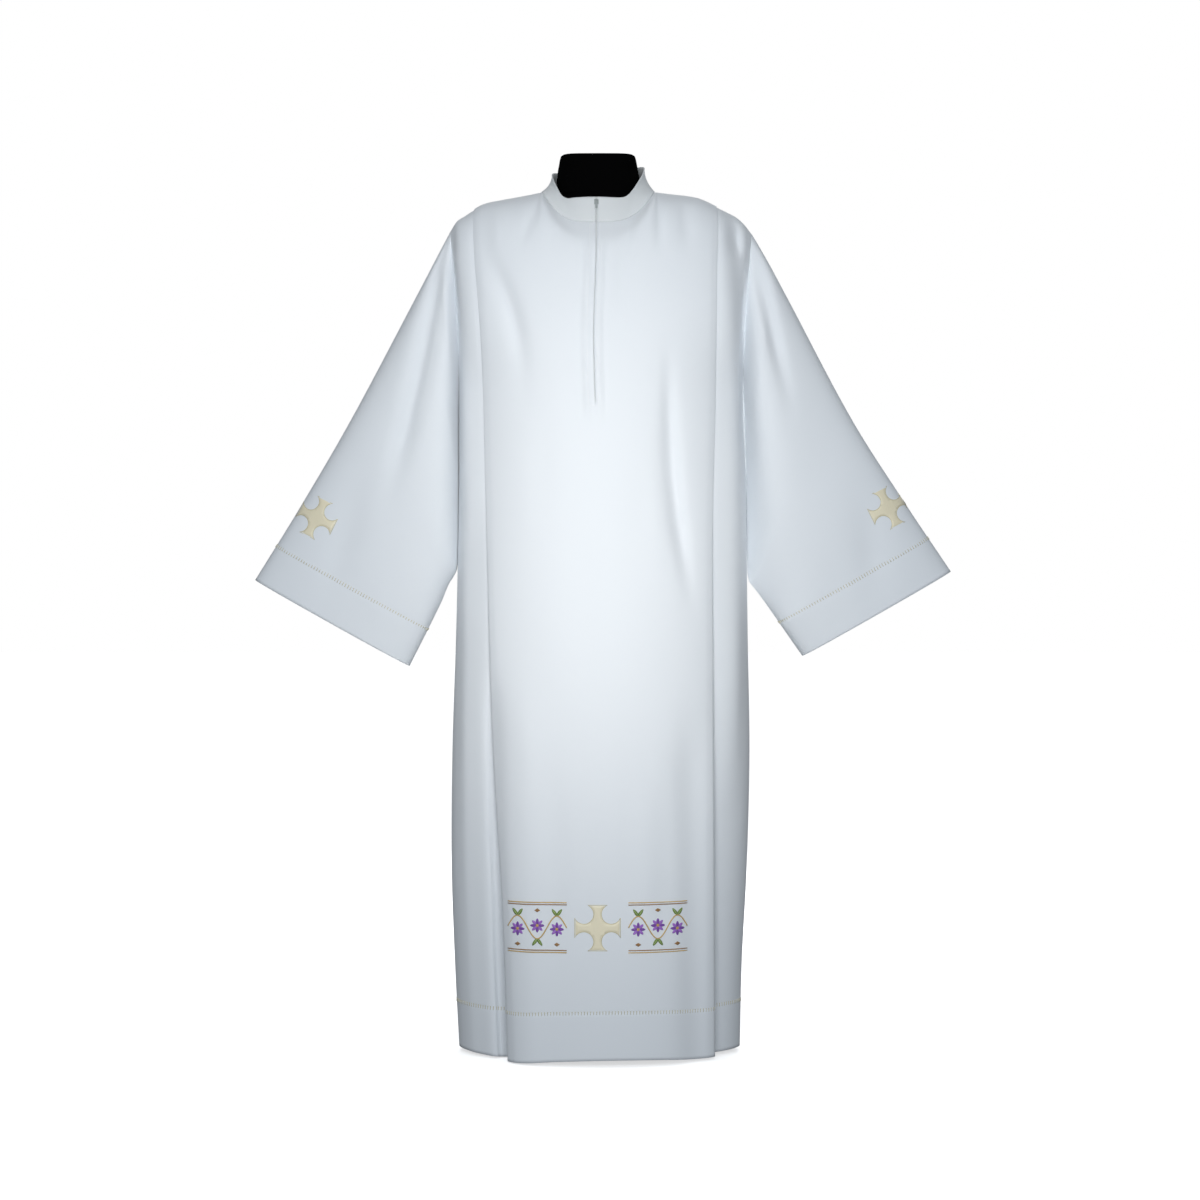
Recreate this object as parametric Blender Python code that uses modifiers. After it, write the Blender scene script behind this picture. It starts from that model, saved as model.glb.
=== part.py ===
"""Alb robe on a limbless dress form.

A full-length white alb with wide hanging sleeves, a stand-up collar, a short
front zip and a knife pleat down each side of the front and the back, worn by
a smooth torso on a pole and a round base.

Metres, +Z up, the front towards -Y. Left and right are as seen from the
front, so left is -X. The origin is on the floor, under the pole.

Every cloth piece is an open surface with a Solidify wall. The robe's body is
one surface for each half of the front and of the back: surface() gives a
point at a fraction across (0 at the centre line, 1 at the side) and a
fraction down (0 at the neck and shoulder seam, 1 at the yoke line, 2 at the
hem). The pleats are layers stepped inwards from it.
"""
import math
from collections import namedtuple

import bmesh
import bpy
from mathutils import Matrix, Vector

LEFT, RIGHT = -1, 1
FRONT, BACK = -1, 1
STEP = 0.001                    # used to measure slopes on the surfaces

# ---- cloth and seams
WALL = 0.0014
SEAM_GAP = 0.0003
SLEEVE_SEAM = 0.0019            # from the armhole edge to the sleeve's edge, wall to wall
COLLAR_SEAM = WALL / 2 + 0.0009 # from the neckline up to the collar's foot, between wall middles
PANEL_SEAM = 0.00061            # from the side and shoulder seams to a panel's edge
APPLIQUE = 0.0009               # thickness of the sewn-on crosses

# ---- body of the robe
HEM_Z = 0.008
YOKE_Z = 1.320
ARMPIT_Z = 1.100
SHOULDER_END_Z = 1.3752
ARMHOLE_REACH = 0.060           # how far the armhole stands forward of the side seam
ROUNDNESS = 2.1                 # power of the body's plan, across
ARMHOLE_ROUNDNESS = 2.6         # and beside the armhole
PLAN_TURN = 1 / ROUNDNESS       # power of the plan, forwards: lower turns more sharply at the side
ARMHOLE_TURN = 0.75             # and beside the armhole
DIP_POWER = 8                   # how far up the front the hem's dips are felt

# ---- neckline and collar
NECK_X = -0.003
NECK_HALF = 0.0955
NECK_FRONT = 0.080
NECK_BACK = 0.072
NECK_FRONT_Z = 1.3827
NECK_SIDE_Z = 1.4445
NECK_BACK_Z = 1.450
COLLAR_HALF = 0.0775
COLLAR_FRONT = 0.0735
COLLAR_BACK = 0.064
COLLAR_HOLLOW = 0.0040          # how far the collar's sides bow in

# ---- pleats
PLEAT_FOLD = 0.036              # how far each pleat goes in behind the panel
OUTER_TURN = (45, 90, 135)      # points round the folded edge that shows, in degrees
INNER_TURN = (60, 120)          # and round the one behind the panel
SHOULDER_SLOPE = 0.10           # how steeply the cloth leaves the shoulder seam
CHEST_LEAN = 0.60               # how far forward it goes as it leaves the neckline's front
BACK_LEAN = 1.0                 # and how far back behind the neck
SIDE_RISE = 1.4                 # how late the side panel comes back out to the side seam

# ---- zip
SLIT_HALF = 0.0016
ZIP_END_Z = 1.080
ZIP_TOP_X = -0.0060
TAPE_HALF = 0.006
TAPE_WALL = 0.0012

CUTTER_DEPTH = 0.30
NOTCH_POINTS = 5                # stretches of the outline round each notch of a cross
CROSS_ARM = 0.0335
CROSS_FLARE = 0.0180
CROSS_WAIST = -0.006
SLEEVE_CROSS_LEAN = math.radians(27)
SLEEVE_CROSS_PLACE = {LEFT: (-0.4737, 0, 0.8952), RIGHT: (0.4820, 0, 0.9120)}
HEM_CROSS_ARM = 0.0370
HEM_CROSS_FLARE = 0.0200
HEM_CROSS_PLACE = (-0.0040, 0, 0.2256)

SLIDER_SIZE = (0.0070, 0.0018, 0.0090)
SLIDER_BEVEL = 0.0005
SLIDER_PLACE = (ZIP_TOP_X, -0.0766, 1.4170)
COLLAR_LEAN = math.radians(-8.9)
AXIS_RISE = 0.0022              # the pull's axis over the slider's middle
AXIS_REACH = 0.0010             # and out from the slider's face
ARCH_WIDTH = 0.0012
ARCH_HALF = 0.0016
ARCH_WALL = 0.0006
ARCH_REACH = 0.0025             # how far the arch stands out from the face
PULL_SIZE = (0.0038, 0.0009, 0.0140)
PULL_BEVEL = 0.00015
WINDOW_WIDTH = 0.0020
WINDOW_DROP = 0.0027            # the window's lower edge under the pull's axis
CUT_MARGIN = 0.0030
LEAN = Matrix.Rotation(COLLAR_LEAN, 3, "X")
PIVOT = Vector(SLIDER_PLACE) + LEAN @ Vector((0, -SLIDER_SIZE[1] / 2 - AXIS_REACH, AXIS_RISE))

# ---- dress form
FORM_SHOULDER_START = 0.118     # where its shoulder starts to carry the robe
FORM_SHOULDER_END = 0.145       # where it starts to fall away from the robe
FORM_SHOULDER_REACH = 0.182
FORM_GAP = 0.0015               # from the shoulder seam's middle down to the form
FORM_DOME_Z = 1.300
FORM_DOME_DEPTH = 0.089
FORM_DOME_POWER = 0.65          # under 1: how sharply its shoulders are ridged
FORM_PLAN_WIDTH = 0.186         # half the width of the oval that its shoulders fill, from above
FORM_PLAN_POWER = 4
FORM_BOTTOM_Z = 0.755
POLE_RADIUS = 0.016
BASE_RADIUS = 0.095
BASE_HEIGHT = 0.007

Level = namedtuple("Level", "z left_side right_side left_pleat right_pleat depth step")
LEVELS = (
    Level(1.375, 0.2513, 0.2546, 0.2125, 0.1970, 0.108, 0.0020),
    Level(1.320, 0.2465, 0.2495, 0.2065, 0.1930, 0.121, 0.0022),
    Level(1.200, 0.2385, 0.2430, 0.1960, 0.1912, 0.137, 0.0029),
    Level(1.080, 0.2370, 0.2420, 0.1910, 0.1895, 0.143, 0.0040),
    Level(0.900, 0.2380, 0.2460, 0.1862, 0.1845, 0.146, 0.0055),
    Level(0.700, 0.2420, 0.2485, 0.1805, 0.1838, 0.148, 0.0080),
    Level(0.500, 0.2483, 0.2515, 0.1730, 0.1838, 0.149, 0.0115),
    Level(0.300, 0.2493, 0.2465, 0.1605, 0.1842, 0.150, 0.0150),
    Level(0.150, 0.2440, 0.2385, 0.1535, 0.1848, 0.151, 0.0175),
    Level(0.008, 0.2367, 0.2350, 0.1490, 0.1853, 0.152, 0.0190),
)

Shoulder = namedtuple("Shoulder", "x left_z right_z")
SHOULDER = (
    Shoulder(0.0925, 1.4455, 1.4446),
    Shoulder(0.120, 1.4398, 1.4412),
    Shoulder(0.148, 1.4345, 1.4380),
    Shoulder(0.168, 1.4310, 1.4338),
    Shoulder(0.195, 1.4250, 1.4215),
    Shoulder(0.214, 1.4150, 1.4118),
    Shoulder(0.228, 1.4050, 1.4038),
    Shoulder(0.242, 1.3945, 1.3915),
    Shoulder(0.2546, 1.3735, 1.3752),
)

Rim = namedtuple("Rim", "degrees left_z right_z")
COLLAR_RIM = (
    Rim(0, 1.4254, 1.4254),
    Rim(30, 1.4255, 1.4258),
    Rim(40, 1.4258, 1.4310),
    Rim(52, 1.4335, 1.4460),
    Rim(65, 1.4510, 1.4630),
    Rim(90, 1.4745, 1.4850),
    Rim(115, 1.4825, 1.4925),
    Rim(180, 1.4900, 1.4900),
)

CentreLine = namedtuple("CentreLine", "z x")
CENTRE_LINE = (
    CentreLine(1.430, ZIP_TOP_X),
    CentreLine(1.320, -0.0065),
    CentreLine(1.200, -0.0105),
    CentreLine(1.080, -0.0080),
    CentreLine(0.700, 0.0000),
    CentreLine(0.008, 0.0000),
)

# Key points of each sleeve's edges, shoulder or armpit first, cuff last.
EdgePoint = namedtuple("EdgePoint", "x z")
SLEEVE_TOP = {
    LEFT: (EdgePoint(-0.2528, 1.3752), EdgePoint(-0.3103, 1.2639),
           EdgePoint(-0.4182, 1.0615), EdgePoint(-0.5050, 0.9130), EdgePoint(-0.5801, 0.7917)),
    RIGHT: (EdgePoint(0.2561, 1.3752), EdgePoint(0.3153, 1.2639),
            EdgePoint(0.4233, 1.0615), EdgePoint(0.5130, 0.9210), EdgePoint(0.5902, 0.8060)),
}
SLEEVE_UNDER = {
    LEFT: (EdgePoint(-0.2391, ARMPIT_Z), EdgePoint(-0.2396, 0.9500), EdgePoint(-0.2425, 0.8300),
           EdgePoint(-0.2545, 0.7860), EdgePoint(-0.2685, 0.7540), EdgePoint(-0.3215, 0.6475)),
    RIGHT: (EdgePoint(0.2443, ARMPIT_Z), EdgePoint(0.2473, 0.9500), EdgePoint(0.2510, 0.8150),
            EdgePoint(0.2600, 0.7800), EdgePoint(0.2790, 0.7540), EdgePoint(0.3415, 0.6645)),
}

# Rings of a sleeve after the armhole: the fractions down its two edges and
# half its thickness there. A ring is pointed below, as the armhole is, until
# it is ROUND_FROM down the top edge.
ROUND_FROM = 0.130
SleeveRing = namedtuple("SleeveRing", "top under reach")
SLEEVE_RINGS = (
    SleeveRing(0.020, 0.045, 0.0645),
    SleeveRing(0.060, 0.130, 0.0700),
    SleeveRing(0.130, 0.260, 0.0750),
    SleeveRing(0.230, 0.410, 0.0765),
    SleeveRing(0.340, 0.530, 0.0745),
    SleeveRing(0.450, 0.620, 0.0700),
    SleeveRing(0.560, 0.700, 0.0640),
    SleeveRing(0.670, 0.780, 0.0580),
    SleeveRing(0.780, 0.855, 0.0520),
    SleeveRing(0.890, 0.930, 0.0465),
    SleeveRing(1.000, 1.000, 0.0430),
)

# How far the hem hangs above or below its level, by its place across.
HemDip = namedtuple("HemDip", "x rise")
HEM_DIPS = (
    HemDip(-0.245, 0.0000),
    HemDip(-0.155, -0.0060),
    HemDip(-0.070, -0.0005),
    HemDip(0.010, 0.0025),
    HemDip(0.100, 0.0015),
    HemDip(0.165, -0.0030),
    HemDip(0.245, 0.0000),
)

# The largest soft folds. Each runs through three points, seen from the front;
# a positive depth is a trough and a negative one is a ridge.
Fold = namedtuple("Fold", "face x0 z0 x1 z1 x2 z2 width depth")
FOLD_END = 0.05                 # how far past its end points a fold fades out
FOLD_FADE = 0.16                # and the length of the fade
BODY_FOLDS = (
    Fold(FRONT, -0.192, 1.334, -0.140, 1.205, -0.131, 1.090, 0.020, 0.0050),
    Fold(FRONT, 0.113, 1.060, 0.120, 0.900, 0.155, 0.770, 0.022, 0.0055),
    Fold(FRONT, -0.124, 0.620, -0.118, 0.300, -0.114, 0.000, 0.026, -0.0090),
    Fold(FRONT, -0.156, 0.640, -0.146, 0.330, -0.138, 0.000, 0.014, 0.0080),
    Fold(FRONT, 0.148, 0.560, 0.152, 0.280, 0.158, 0.000, 0.026, 0.0080),
    Fold(FRONT, -0.212, 0.900, -0.216, 0.480, -0.205, 0.000, 0.016, 0.0070),
    Fold(BACK, -0.100, 1.250, -0.070, 1.120, -0.060, 0.960, 0.026, 0.0050),
    Fold(BACK, 0.120, 1.200, 0.095, 1.050, 0.090, 0.880, 0.026, 0.0055),
    Fold(BACK, -0.060, 0.820, -0.070, 0.420, -0.078, 0.000, 0.030, 0.0090),
    Fold(BACK, 0.085, 0.640, 0.100, 0.320, 0.105, 0.000, 0.030, 0.0085),
    Fold(BACK, 0.012, 0.500, 0.014, 0.250, 0.010, 0.000, 0.026, -0.0070),
)
SLEEVE_FOLDS = (
    Fold(FRONT, -0.262, 1.300, -0.284, 1.120, -0.345, 0.850, 0.022, 0.0100),
    Fold(FRONT, -0.400, 0.960, -0.430, 0.850, -0.465, 0.730, 0.026, 0.0060),
    Fold(FRONT, 0.272, 1.290, 0.288, 1.160, 0.310, 1.000, 0.022, 0.0090),
    Fold(FRONT, 0.440, 0.930, 0.455, 0.830, 0.470, 0.720, 0.028, 0.0060),
    Fold(BACK, -0.275, 1.280, -0.310, 1.090, -0.370, 0.860, 0.024, 0.0100),
    Fold(BACK, 0.275, 1.280, 0.315, 1.100, 0.385, 0.880, 0.024, 0.0100),
    Fold(BACK, -0.430, 0.930, -0.450, 0.830, -0.480, 0.740, 0.026, 0.0060),
)

# Fractions from the centre line to the pleat, and from the pleat to the side.
# The neckline's corner on the shoulder is the panel's column at CORNER_COLUMN.
CORNER_COLUMN = 0.5
PANEL_COLUMNS = (0.0, 0.1, 0.2, 0.3, 0.4, CORNER_COLUMN, 0.62, 0.74, 0.86, 0.95, 1.0)
SIDE_COLUMNS = (0.0, 0.22, 0.42, 0.62, 0.81, 1.0)
YOKE_ROWS = (0.0, 0.18, 0.38, 0.60, 0.80)
BODY_LEVELS = (YOKE_Z, 1.278, 1.235, 1.190, 1.145, ARMPIT_Z, ZIP_END_Z + 0.004, ZIP_END_Z,
               0.990, 0.890, 0.780, 0.670, 0.560, 0.440, 0.320, 0.210, 0.105, HEM_Z)
COLLAR_DEGREES = tuple(range(0, 181, 18))

TorsoRing = namedtuple("TorsoRing", "z half_width half_depth")
TORSO_RINGS = (
    TorsoRing(0.755, 0.060, 0.045),
    TorsoRing(0.757, 0.150, 0.092),
    TorsoRing(0.766, 0.164, 0.103),
    TorsoRing(0.790, 0.171, 0.110),
    TorsoRing(0.850, 0.170, 0.111),
    TorsoRing(0.920, 0.156, 0.104),
    TorsoRing(1.000, 0.139, 0.095),
    TorsoRing(1.080, 0.146, 0.098),
    TorsoRing(1.160, 0.163, 0.105),
    TorsoRing(1.240, 0.172, 0.106),
)
# A higher power makes the neck's plan squarer; the neck's foot is an oval.
NeckRing = namedtuple("NeckRing", "z centre_x half_width half_depth power")
NECK_RINGS = (
    NeckRing(1.380, 0.0000, 0.0700, 0.0590, 2.0),
    NeckRing(1.439, -0.0010, 0.0718, 0.0600, 2.0),
    NeckRing(1.466, -0.0028, 0.0698, 0.0580, 2.2),
    NeckRing(1.482, -0.0034, 0.0676, 0.0540, 2.2),
    NeckRing(1.4945, -0.0034, 0.0652, 0.0490, 4.0),
    NeckRing(1.5010, -0.0034, 0.0630, 0.0478, 4.5),
    NeckRing(1.5030, -0.0034, 0.0605, 0.0460, 4.5),
)
DOME_LEVELS = (1.300, 1.340, 1.372, 1.394, 1.408, 1.418, 1.425, 1.431, 1.4360)
RING_HALF_POINTS = 12


# ---------------------------------------------------------------- tables

def read(rows, key, name, at):
    """A table's column at a place between its rows, on one smooth curve."""
    keys = [getattr(row, key) for row in rows]
    values = [getattr(row, name) for row in rows]
    if keys[0] > keys[-1]:
        keys.reverse()
        values.reverse()
    if at <= keys[0]:
        return values[0]
    if at >= keys[-1]:
        return values[-1]
    i = max(k for k in range(len(keys) - 1) if keys[k] <= at)

    def slope(k):
        low, high = max(k - 1, 0), min(k + 1, len(keys) - 1)
        return (values[high] - values[low]) / (keys[high] - keys[low])

    span = keys[i + 1] - keys[i]
    u = (at - keys[i]) / span
    start = (2 * u ** 3 - 3 * u ** 2 + 1) * values[i] + (u ** 3 - 2 * u ** 2 + u) * span * slope(i)
    end = (3 * u ** 2 - 2 * u ** 3) * values[i + 1] + (u ** 3 - u ** 2) * span * slope(i + 1)
    return start + end


def side_word(side, word):
    return ("left_" if side == LEFT else "right_") + word


def quadratic(a, b, c, u):
    return a * (1 - u) ** 2 + b * 2 * u * (1 - u) + c * u ** 2


def fold_depth(folds, face, x, z):
    """How far the soft folds of one face push the cloth inwards at (x, z)."""
    total = 0.0
    for fold in folds:
        if fold.face != face:
            continue
        u = min(max((fold.z0 - z) / (fold.z0 - fold.z2), -0.3), 1.0)
        line_x = quadratic(fold.x0, 2 * fold.x1 - (fold.x0 + fold.x2) / 2, fold.x2, max(u, 0.0))
        across = math.exp(-((x - line_x) / fold.width) ** 2)
        rise = min(max((fold.z0 + FOLD_END - z) / FOLD_FADE, 0.0), 1.0)
        fall = min(max((z - fold.z2 + FOLD_END) / FOLD_FADE, 0.0), 1.0) if fold.z2 > 0 else 1.0
        total += fold.depth * across * math.sin(rise * math.pi / 2) ** 2 * fall ** 2
    return total


# ---------------------------------------------------------------- robe body

def armhole_place(z):
    """A height as a place on the armhole: 1 at the shoulder, -1 at the armpit."""
    return (2 * z - SHOULDER_END_Z - ARMPIT_Z) / (SHOULDER_END_Z - ARMPIT_Z)


def armhole_shape(z):
    """The share of its reach that the armhole has at a height: round on top, pointed below."""
    place = armhole_place(z)
    return max(1 - place ** 2, 0.0) ** (1 - place / 2) if abs(place) < 1 else 0.0


def pleat_fraction(side, z):
    """The pleat's folded edge as a fraction of the way across."""
    pleat = read(LEVELS, "z", side_word(side, "pleat"), z)
    return pleat / read(LEVELS, "z", side_word(side, "side"), z)


def level_point(side, face, across, z):
    """A point on the robe's outside at a height from the yoke line down."""
    half = read(LEVELS, "z", side_word(side, "side"), z)
    depth = read(LEVELS, "z", "depth", z)
    share = armhole_shape(z)
    edge = max(ARMHOLE_REACH * share, PANEL_SEAM)
    roundness = ROUNDNESS + (ARMHOLE_ROUNDNESS - ROUNDNESS) * share
    turn = PLAN_TURN + (ARMHOLE_TURN - PLAN_TURN) * share
    across = min(across, 1.0)
    x = side * half * across
    x += read(CENTRE_LINE, "z", "x", z) * (1 - across) ** 2 if face == FRONT else 0.0
    y = edge + (depth - edge) * (1 - across ** roundness) ** turn
    y -= fold_depth(BODY_FOLDS, face, x, z)
    if face == FRONT:
        z += read(HEM_DIPS, "x", "rise", x) * ((YOKE_Z - z) / (YOKE_Z - HEM_Z)) ** DIP_POWER
    return Vector((x, face * y, z))


def zip_shift(face, angle):
    """How far the zip pulls the front's middle to one side."""
    return (ZIP_TOP_X - NECK_X) * math.cos(angle) ** 4 if face == FRONT else 0.0


def neck_point(side, face, degrees):
    """A point on the neckline: 0 degrees is its middle, 90 the shoulder."""
    angle = math.radians(degrees)
    middle_z = NECK_FRONT_Z if face == FRONT else NECK_BACK_Z
    middle_y = NECK_FRONT if face == FRONT else NECK_BACK
    x = NECK_X + side * NECK_HALF * math.sin(angle) + zip_shift(face, angle)
    y = face * max(middle_y * math.cos(angle), PANEL_SEAM)
    return Vector((x, y, middle_z + (NECK_SIDE_Z - middle_z) * math.sin(angle) ** 2))


def seam_start(side, face, across):
    """Where a column leaves the neckline or the shoulder, and in which direction."""
    on_shoulder = Vector((0, face, -SHOULDER_SLOPE)).normalized()
    corner = CORNER_COLUMN * pleat_fraction(side, SHOULDER_END_Z)
    if across > corner:
        corner_x = neck_point(side, face, 90).x
        end_x = side * read(LEVELS, "z", side_word(side, "side"), SHOULDER_END_Z)
        x = corner_x + (end_x - corner_x) * (min(across, 1.0) - corner) / (1 - corner)
        z = read(SHOULDER, "x", side_word(side, "z"), abs(x))
        return Vector((x, face * PANEL_SEAM, z)), on_shoulder
    degrees = 90 * across / corner
    at_middle = Vector((0, face * (CHEST_LEAN if face == FRONT else BACK_LEAN), -1)).normalized()
    direction = at_middle.lerp(on_shoulder, math.sin(math.radians(degrees)) ** 2).normalized()
    return neck_point(side, face, degrees), direction


def surface(side, face, across, down):
    """The robe's outside: see the note at the top of this file."""
    if down >= 1:
        z = YOKE_Z + (HEM_Z - YOKE_Z) * (down - 1)
        return level_point(side, face, across, z)
    start, leaving = seam_start(side, face, across)
    end = level_point(side, face, across, YOKE_Z)
    arriving = (level_point(side, face, across, YOKE_Z - STEP) - end).normalized()
    reach = (end - start).length * 0.42
    a, b, c, d = start, start + leaving * reach, end - arriving * reach, end
    u = down
    return a * (1 - u) ** 3 + b * 3 * u * (1 - u) ** 2 + c * 3 * u ** 2 * (1 - u) + d * u ** 3


def down_at(z):
    return 1 + (z - YOKE_Z) / (HEM_Z - YOKE_Z)


def level_z(down):
    """The height that stands for a row in the tables."""
    if down >= 1:
        return YOKE_Z + (HEM_Z - YOKE_Z) * (down - 1)
    return SHOULDER_END_Z + (YOKE_Z - SHOULDER_END_Z) * down


def outward(side, face, across, down):
    """The unit normal of the robe's outside."""
    low, high = max(across - 0.01, 0.0), min(across + 0.01, 0.99)
    over = surface(side, face, high, down) - surface(side, face, low, down)
    under, over_it = min(down + 0.02, 2.0), max(down - 0.02, 0.0)
    below = surface(side, face, across, under) - surface(side, face, across, over_it)
    normal = over.cross(below).normalized()
    return normal if normal.y * face > 0 or normal.z > 0.5 else -normal


def pleat_place(side, down):
    """The pleat's fraction across, its fold's fraction across and its layers' step."""
    z = level_z(down)
    half = read(LEVELS, "z", side_word(side, "side"), z)
    return pleat_fraction(side, z), PLEAT_FOLD / half, read(LEVELS, "z", "step", z)


def round_turn(outer, inner, reach_direction, turn_angles):
    """Points of a half circle from one layer's edge to the next layer's edge."""
    centre = (outer + inner) / 2
    arm = (outer - inner) / 2
    radius = arm.length
    points = []
    for degrees in turn_angles:
        angle = math.radians(degrees)
        points.append(centre + arm * math.cos(angle) + reach_direction * radius * math.sin(angle))
    return points


def half_row(side, face, down):
    """One row of points from the centre line out to the side, through the pleat."""
    pleat, fold, step = pleat_place(side, down)
    inner = pleat - fold
    row = [surface(side, face, pleat * part, down) for part in PANEL_COLUMNS]

    def layer(across, depth):
        point = surface(side, face, across, down) - outward(side, face, across, down) * step * depth
        point.y = face * max(face * point.y, PANEL_SEAM)
        return point

    over = (surface(side, face, pleat, down) - surface(side, face, pleat - 0.02, down)).normalized()
    row += round_turn(row[-1], layer(pleat, 1), over, OUTER_TURN)
    row += [layer(pleat, 1), layer(inner, 1)]
    row += round_turn(layer(inner, 1), layer(inner, 2), -over, INNER_TURN)
    row.append(layer(inner, 2))
    start_angle = math.asin(pleat ** (ROUNDNESS / 2))
    for part in SIDE_COLUMNS:
        angle = start_angle + (math.pi / 2 - start_angle) * part
        across = math.sin(angle) ** (2 / ROUNDNESS)
        if part == 1:
            row.append(surface(side, face, 1.0, down))
        else:
            row.append(layer(across, 2 * (1 - part ** SIDE_RISE)))
    return row


def body_downs():
    return list(YOKE_ROWS) + [down_at(z) for z in BODY_LEVELS]


def body_rows(face):
    """Full rows, left side to right side, each half with its own centre point."""
    rows = []
    for down in body_downs():
        left, right = half_row(LEFT, face, down), half_row(RIGHT, face, down)
        if face == FRONT and down < down_at(ZIP_END_Z) - 0.0001:
            left[0].x -= SLIT_HALF
            right[0].x += SLIT_HALF
        rows.append(list(reversed(left)) + right)
    return rows


# ---------------------------------------------------------------- sleeves

def edge_point(points, fraction):
    """A point at a fraction of the way along a sleeve's edge."""
    Place = namedtuple("Place", "along x z")
    along, places = 0.0, []
    for i, point in enumerate(points):
        if i:
            along += math.dist(point, points[i - 1])
        places.append(Place(along, point.x, point.z))
    at = fraction * along
    return Vector((read(places, "along", "x", at), 0, read(places, "along", "z", at)))


def armhole_rows():
    return [down for down in body_downs() if down <= down_at(ARMPIT_Z) + 0.0001]


def sleeve_rings(side):
    """Rings of points from the armhole to the cuff: down the front, up the back."""
    downs = armhole_rows()
    front = [surface(side, FRONT, 1.0, down) for down in downs]
    back = [surface(side, BACK, 1.0, down) for down in downs]
    front[0].y = front[-1].y = 0.0
    first = front + list(reversed(back[1:-1]))
    drops = [(SHOULDER_END_Z - point.z) / (SHOULDER_END_Z - ARMPIT_Z) for point in first]
    angles = [math.acos(min(max(1 - 2 * drop, -1.0), 1.0)) for drop in drops]
    rings = [[point + Vector((side * SLEEVE_SEAM, 0, 0)) for point in first]]
    for ring in SLEEVE_RINGS:
        top = edge_point(SLEEVE_TOP[side], ring.top)
        under = edge_point(SLEEVE_UNDER[side], ring.under)
        points = []
        for i, angle in enumerate(angles):
            face = FRONT if i < len(front) else BACK
            point = top.lerp(under, (1 - math.cos(angle)) / 2)
            ease = min(math.sin(angle) * 2.0, 1.0)
            inward = fold_depth(SLEEVE_FOLDS, face, point.x, point.z) * ease
            pointed = 1 + (1 - math.cos(angle)) * max(1 - ring.top / ROUND_FROM, 0.0)
            point.y = face * (ring.reach * max(math.sin(angle), 0.0) ** pointed - inward)
            points.append(point)
        rings.append(points)
    return rings


# ---------------------------------------------------------------- Blender helpers

def clear_scene():
    for item in list(bpy.data.objects):
        bpy.data.objects.remove(item, do_unlink=True)


def make_collection(name):
    collection = bpy.data.collections.new(name)
    bpy.context.scene.collection.children.link(collection)
    return collection


def make_material(name, colour, roughness, metallic=0.0):
    material = bpy.data.materials.new(name)
    material.use_nodes = True
    shader = material.node_tree.nodes["Principled BSDF"]
    shader.inputs["Base Color"].default_value = (*colour, 1.0)
    shader.inputs["Roughness"].default_value = roughness
    shader.inputs["Metallic"].default_value = metallic
    material.diffuse_color = (*colour, 1.0)
    return material


def add_object(name, mesh, collection, material):
    item = bpy.data.objects.new(name, mesh)
    collection.objects.link(item)
    if material:
        mesh.materials.append(material)
    return item


def grid_mesh(name, rows, closed=False, open_column=None, caps=False, joined_from=None):
    """A mesh of quads through rows of points.

    closed joins each row's end to its start. open_column leaves out the quads
    between that column and the next, whose points are one from row
    joined_from down. caps fills the first and last rows.
    """
    bm = bmesh.new()
    verts = []
    for i, row in enumerate(rows):
        line = [bm.verts.new(point) for point in row]
        if open_column is not None and i >= joined_from:
            bm.verts.remove(line[open_column + 1])
            line[open_column + 1] = line[open_column]
        verts.append(line)
    columns = len(rows[0])
    for i in range(len(rows) - 1):
        for j in range(columns if closed else columns - 1):
            if j == open_column:
                continue
            k = (j + 1) % columns
            bm.faces.new((verts[i][j], verts[i + 1][j], verts[i + 1][k], verts[i][k]))
    if caps:
        bm.faces.new(list(reversed(verts[0])))
        bm.faces.new(verts[-1])
    bmesh.ops.recalc_face_normals(bm, faces=bm.faces)
    mesh = bpy.data.meshes.new(name)
    bm.to_mesh(mesh)
    bm.free()
    mesh.shade_smooth()
    return mesh


def face_outwards(mesh, index, direction):
    """Turns a grid over if its face with this index looks the wrong way."""
    if mesh.polygons[index].normal.dot(Vector(direction)) < 0:
        mesh.flip_normals()


def add_wall(item, thickness, offset=0.0):
    wall = item.modifiers.new("Wall", "SOLIDIFY")
    wall.thickness = thickness
    wall.offset = offset
    wall.use_even_offset = False
    return wall


# ---------------------------------------------------------------- robe pieces

def make_body_panel(name, face, collection, material):
    rows = body_rows(face)
    middle = len(rows[0]) // 2 - 1
    if face == FRONT:
        joined = next(i for i, down in enumerate(body_downs()) if down >= down_at(ZIP_END_Z) - 0.0001)
        mesh = grid_mesh(name, rows, open_column=middle, joined_from=joined)
    else:
        mesh = grid_mesh(name, rows, open_column=middle, joined_from=0)
    face_outwards(mesh, len(mesh.polygons) - 1, (0, face, 0))
    item = add_object(name, mesh, collection, material)
    add_wall(item, WALL)
    return item


def make_sleeve(name, side, collection, material):
    mesh = grid_mesh(name, sleeve_rings(side), closed=True)
    item = add_object(name, mesh, collection, material)
    add_wall(item, WALL)
    return item


def collar_points(side, degrees):
    """The collar's foot, middle and rim at an angle from the front."""
    face = FRONT if degrees <= 90 else BACK
    angle = math.radians(degrees)
    foot = neck_point(side, face, degrees if face == FRONT else 180 - degrees)
    foot.z += COLLAR_SEAM
    depth = COLLAR_FRONT if face == FRONT else COLLAR_BACK
    rim_x = NECK_X + side * COLLAR_HALF * math.sin(angle) + zip_shift(face, angle)
    rim_z = read(COLLAR_RIM, "degrees", side_word(side, "z"), degrees)
    rim = Vector((rim_x, -depth * math.cos(angle), rim_z))
    middle = foot.lerp(rim, 0.5)
    middle.x -= side * COLLAR_HOLLOW * math.sin(angle)
    return foot, middle, rim


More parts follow.
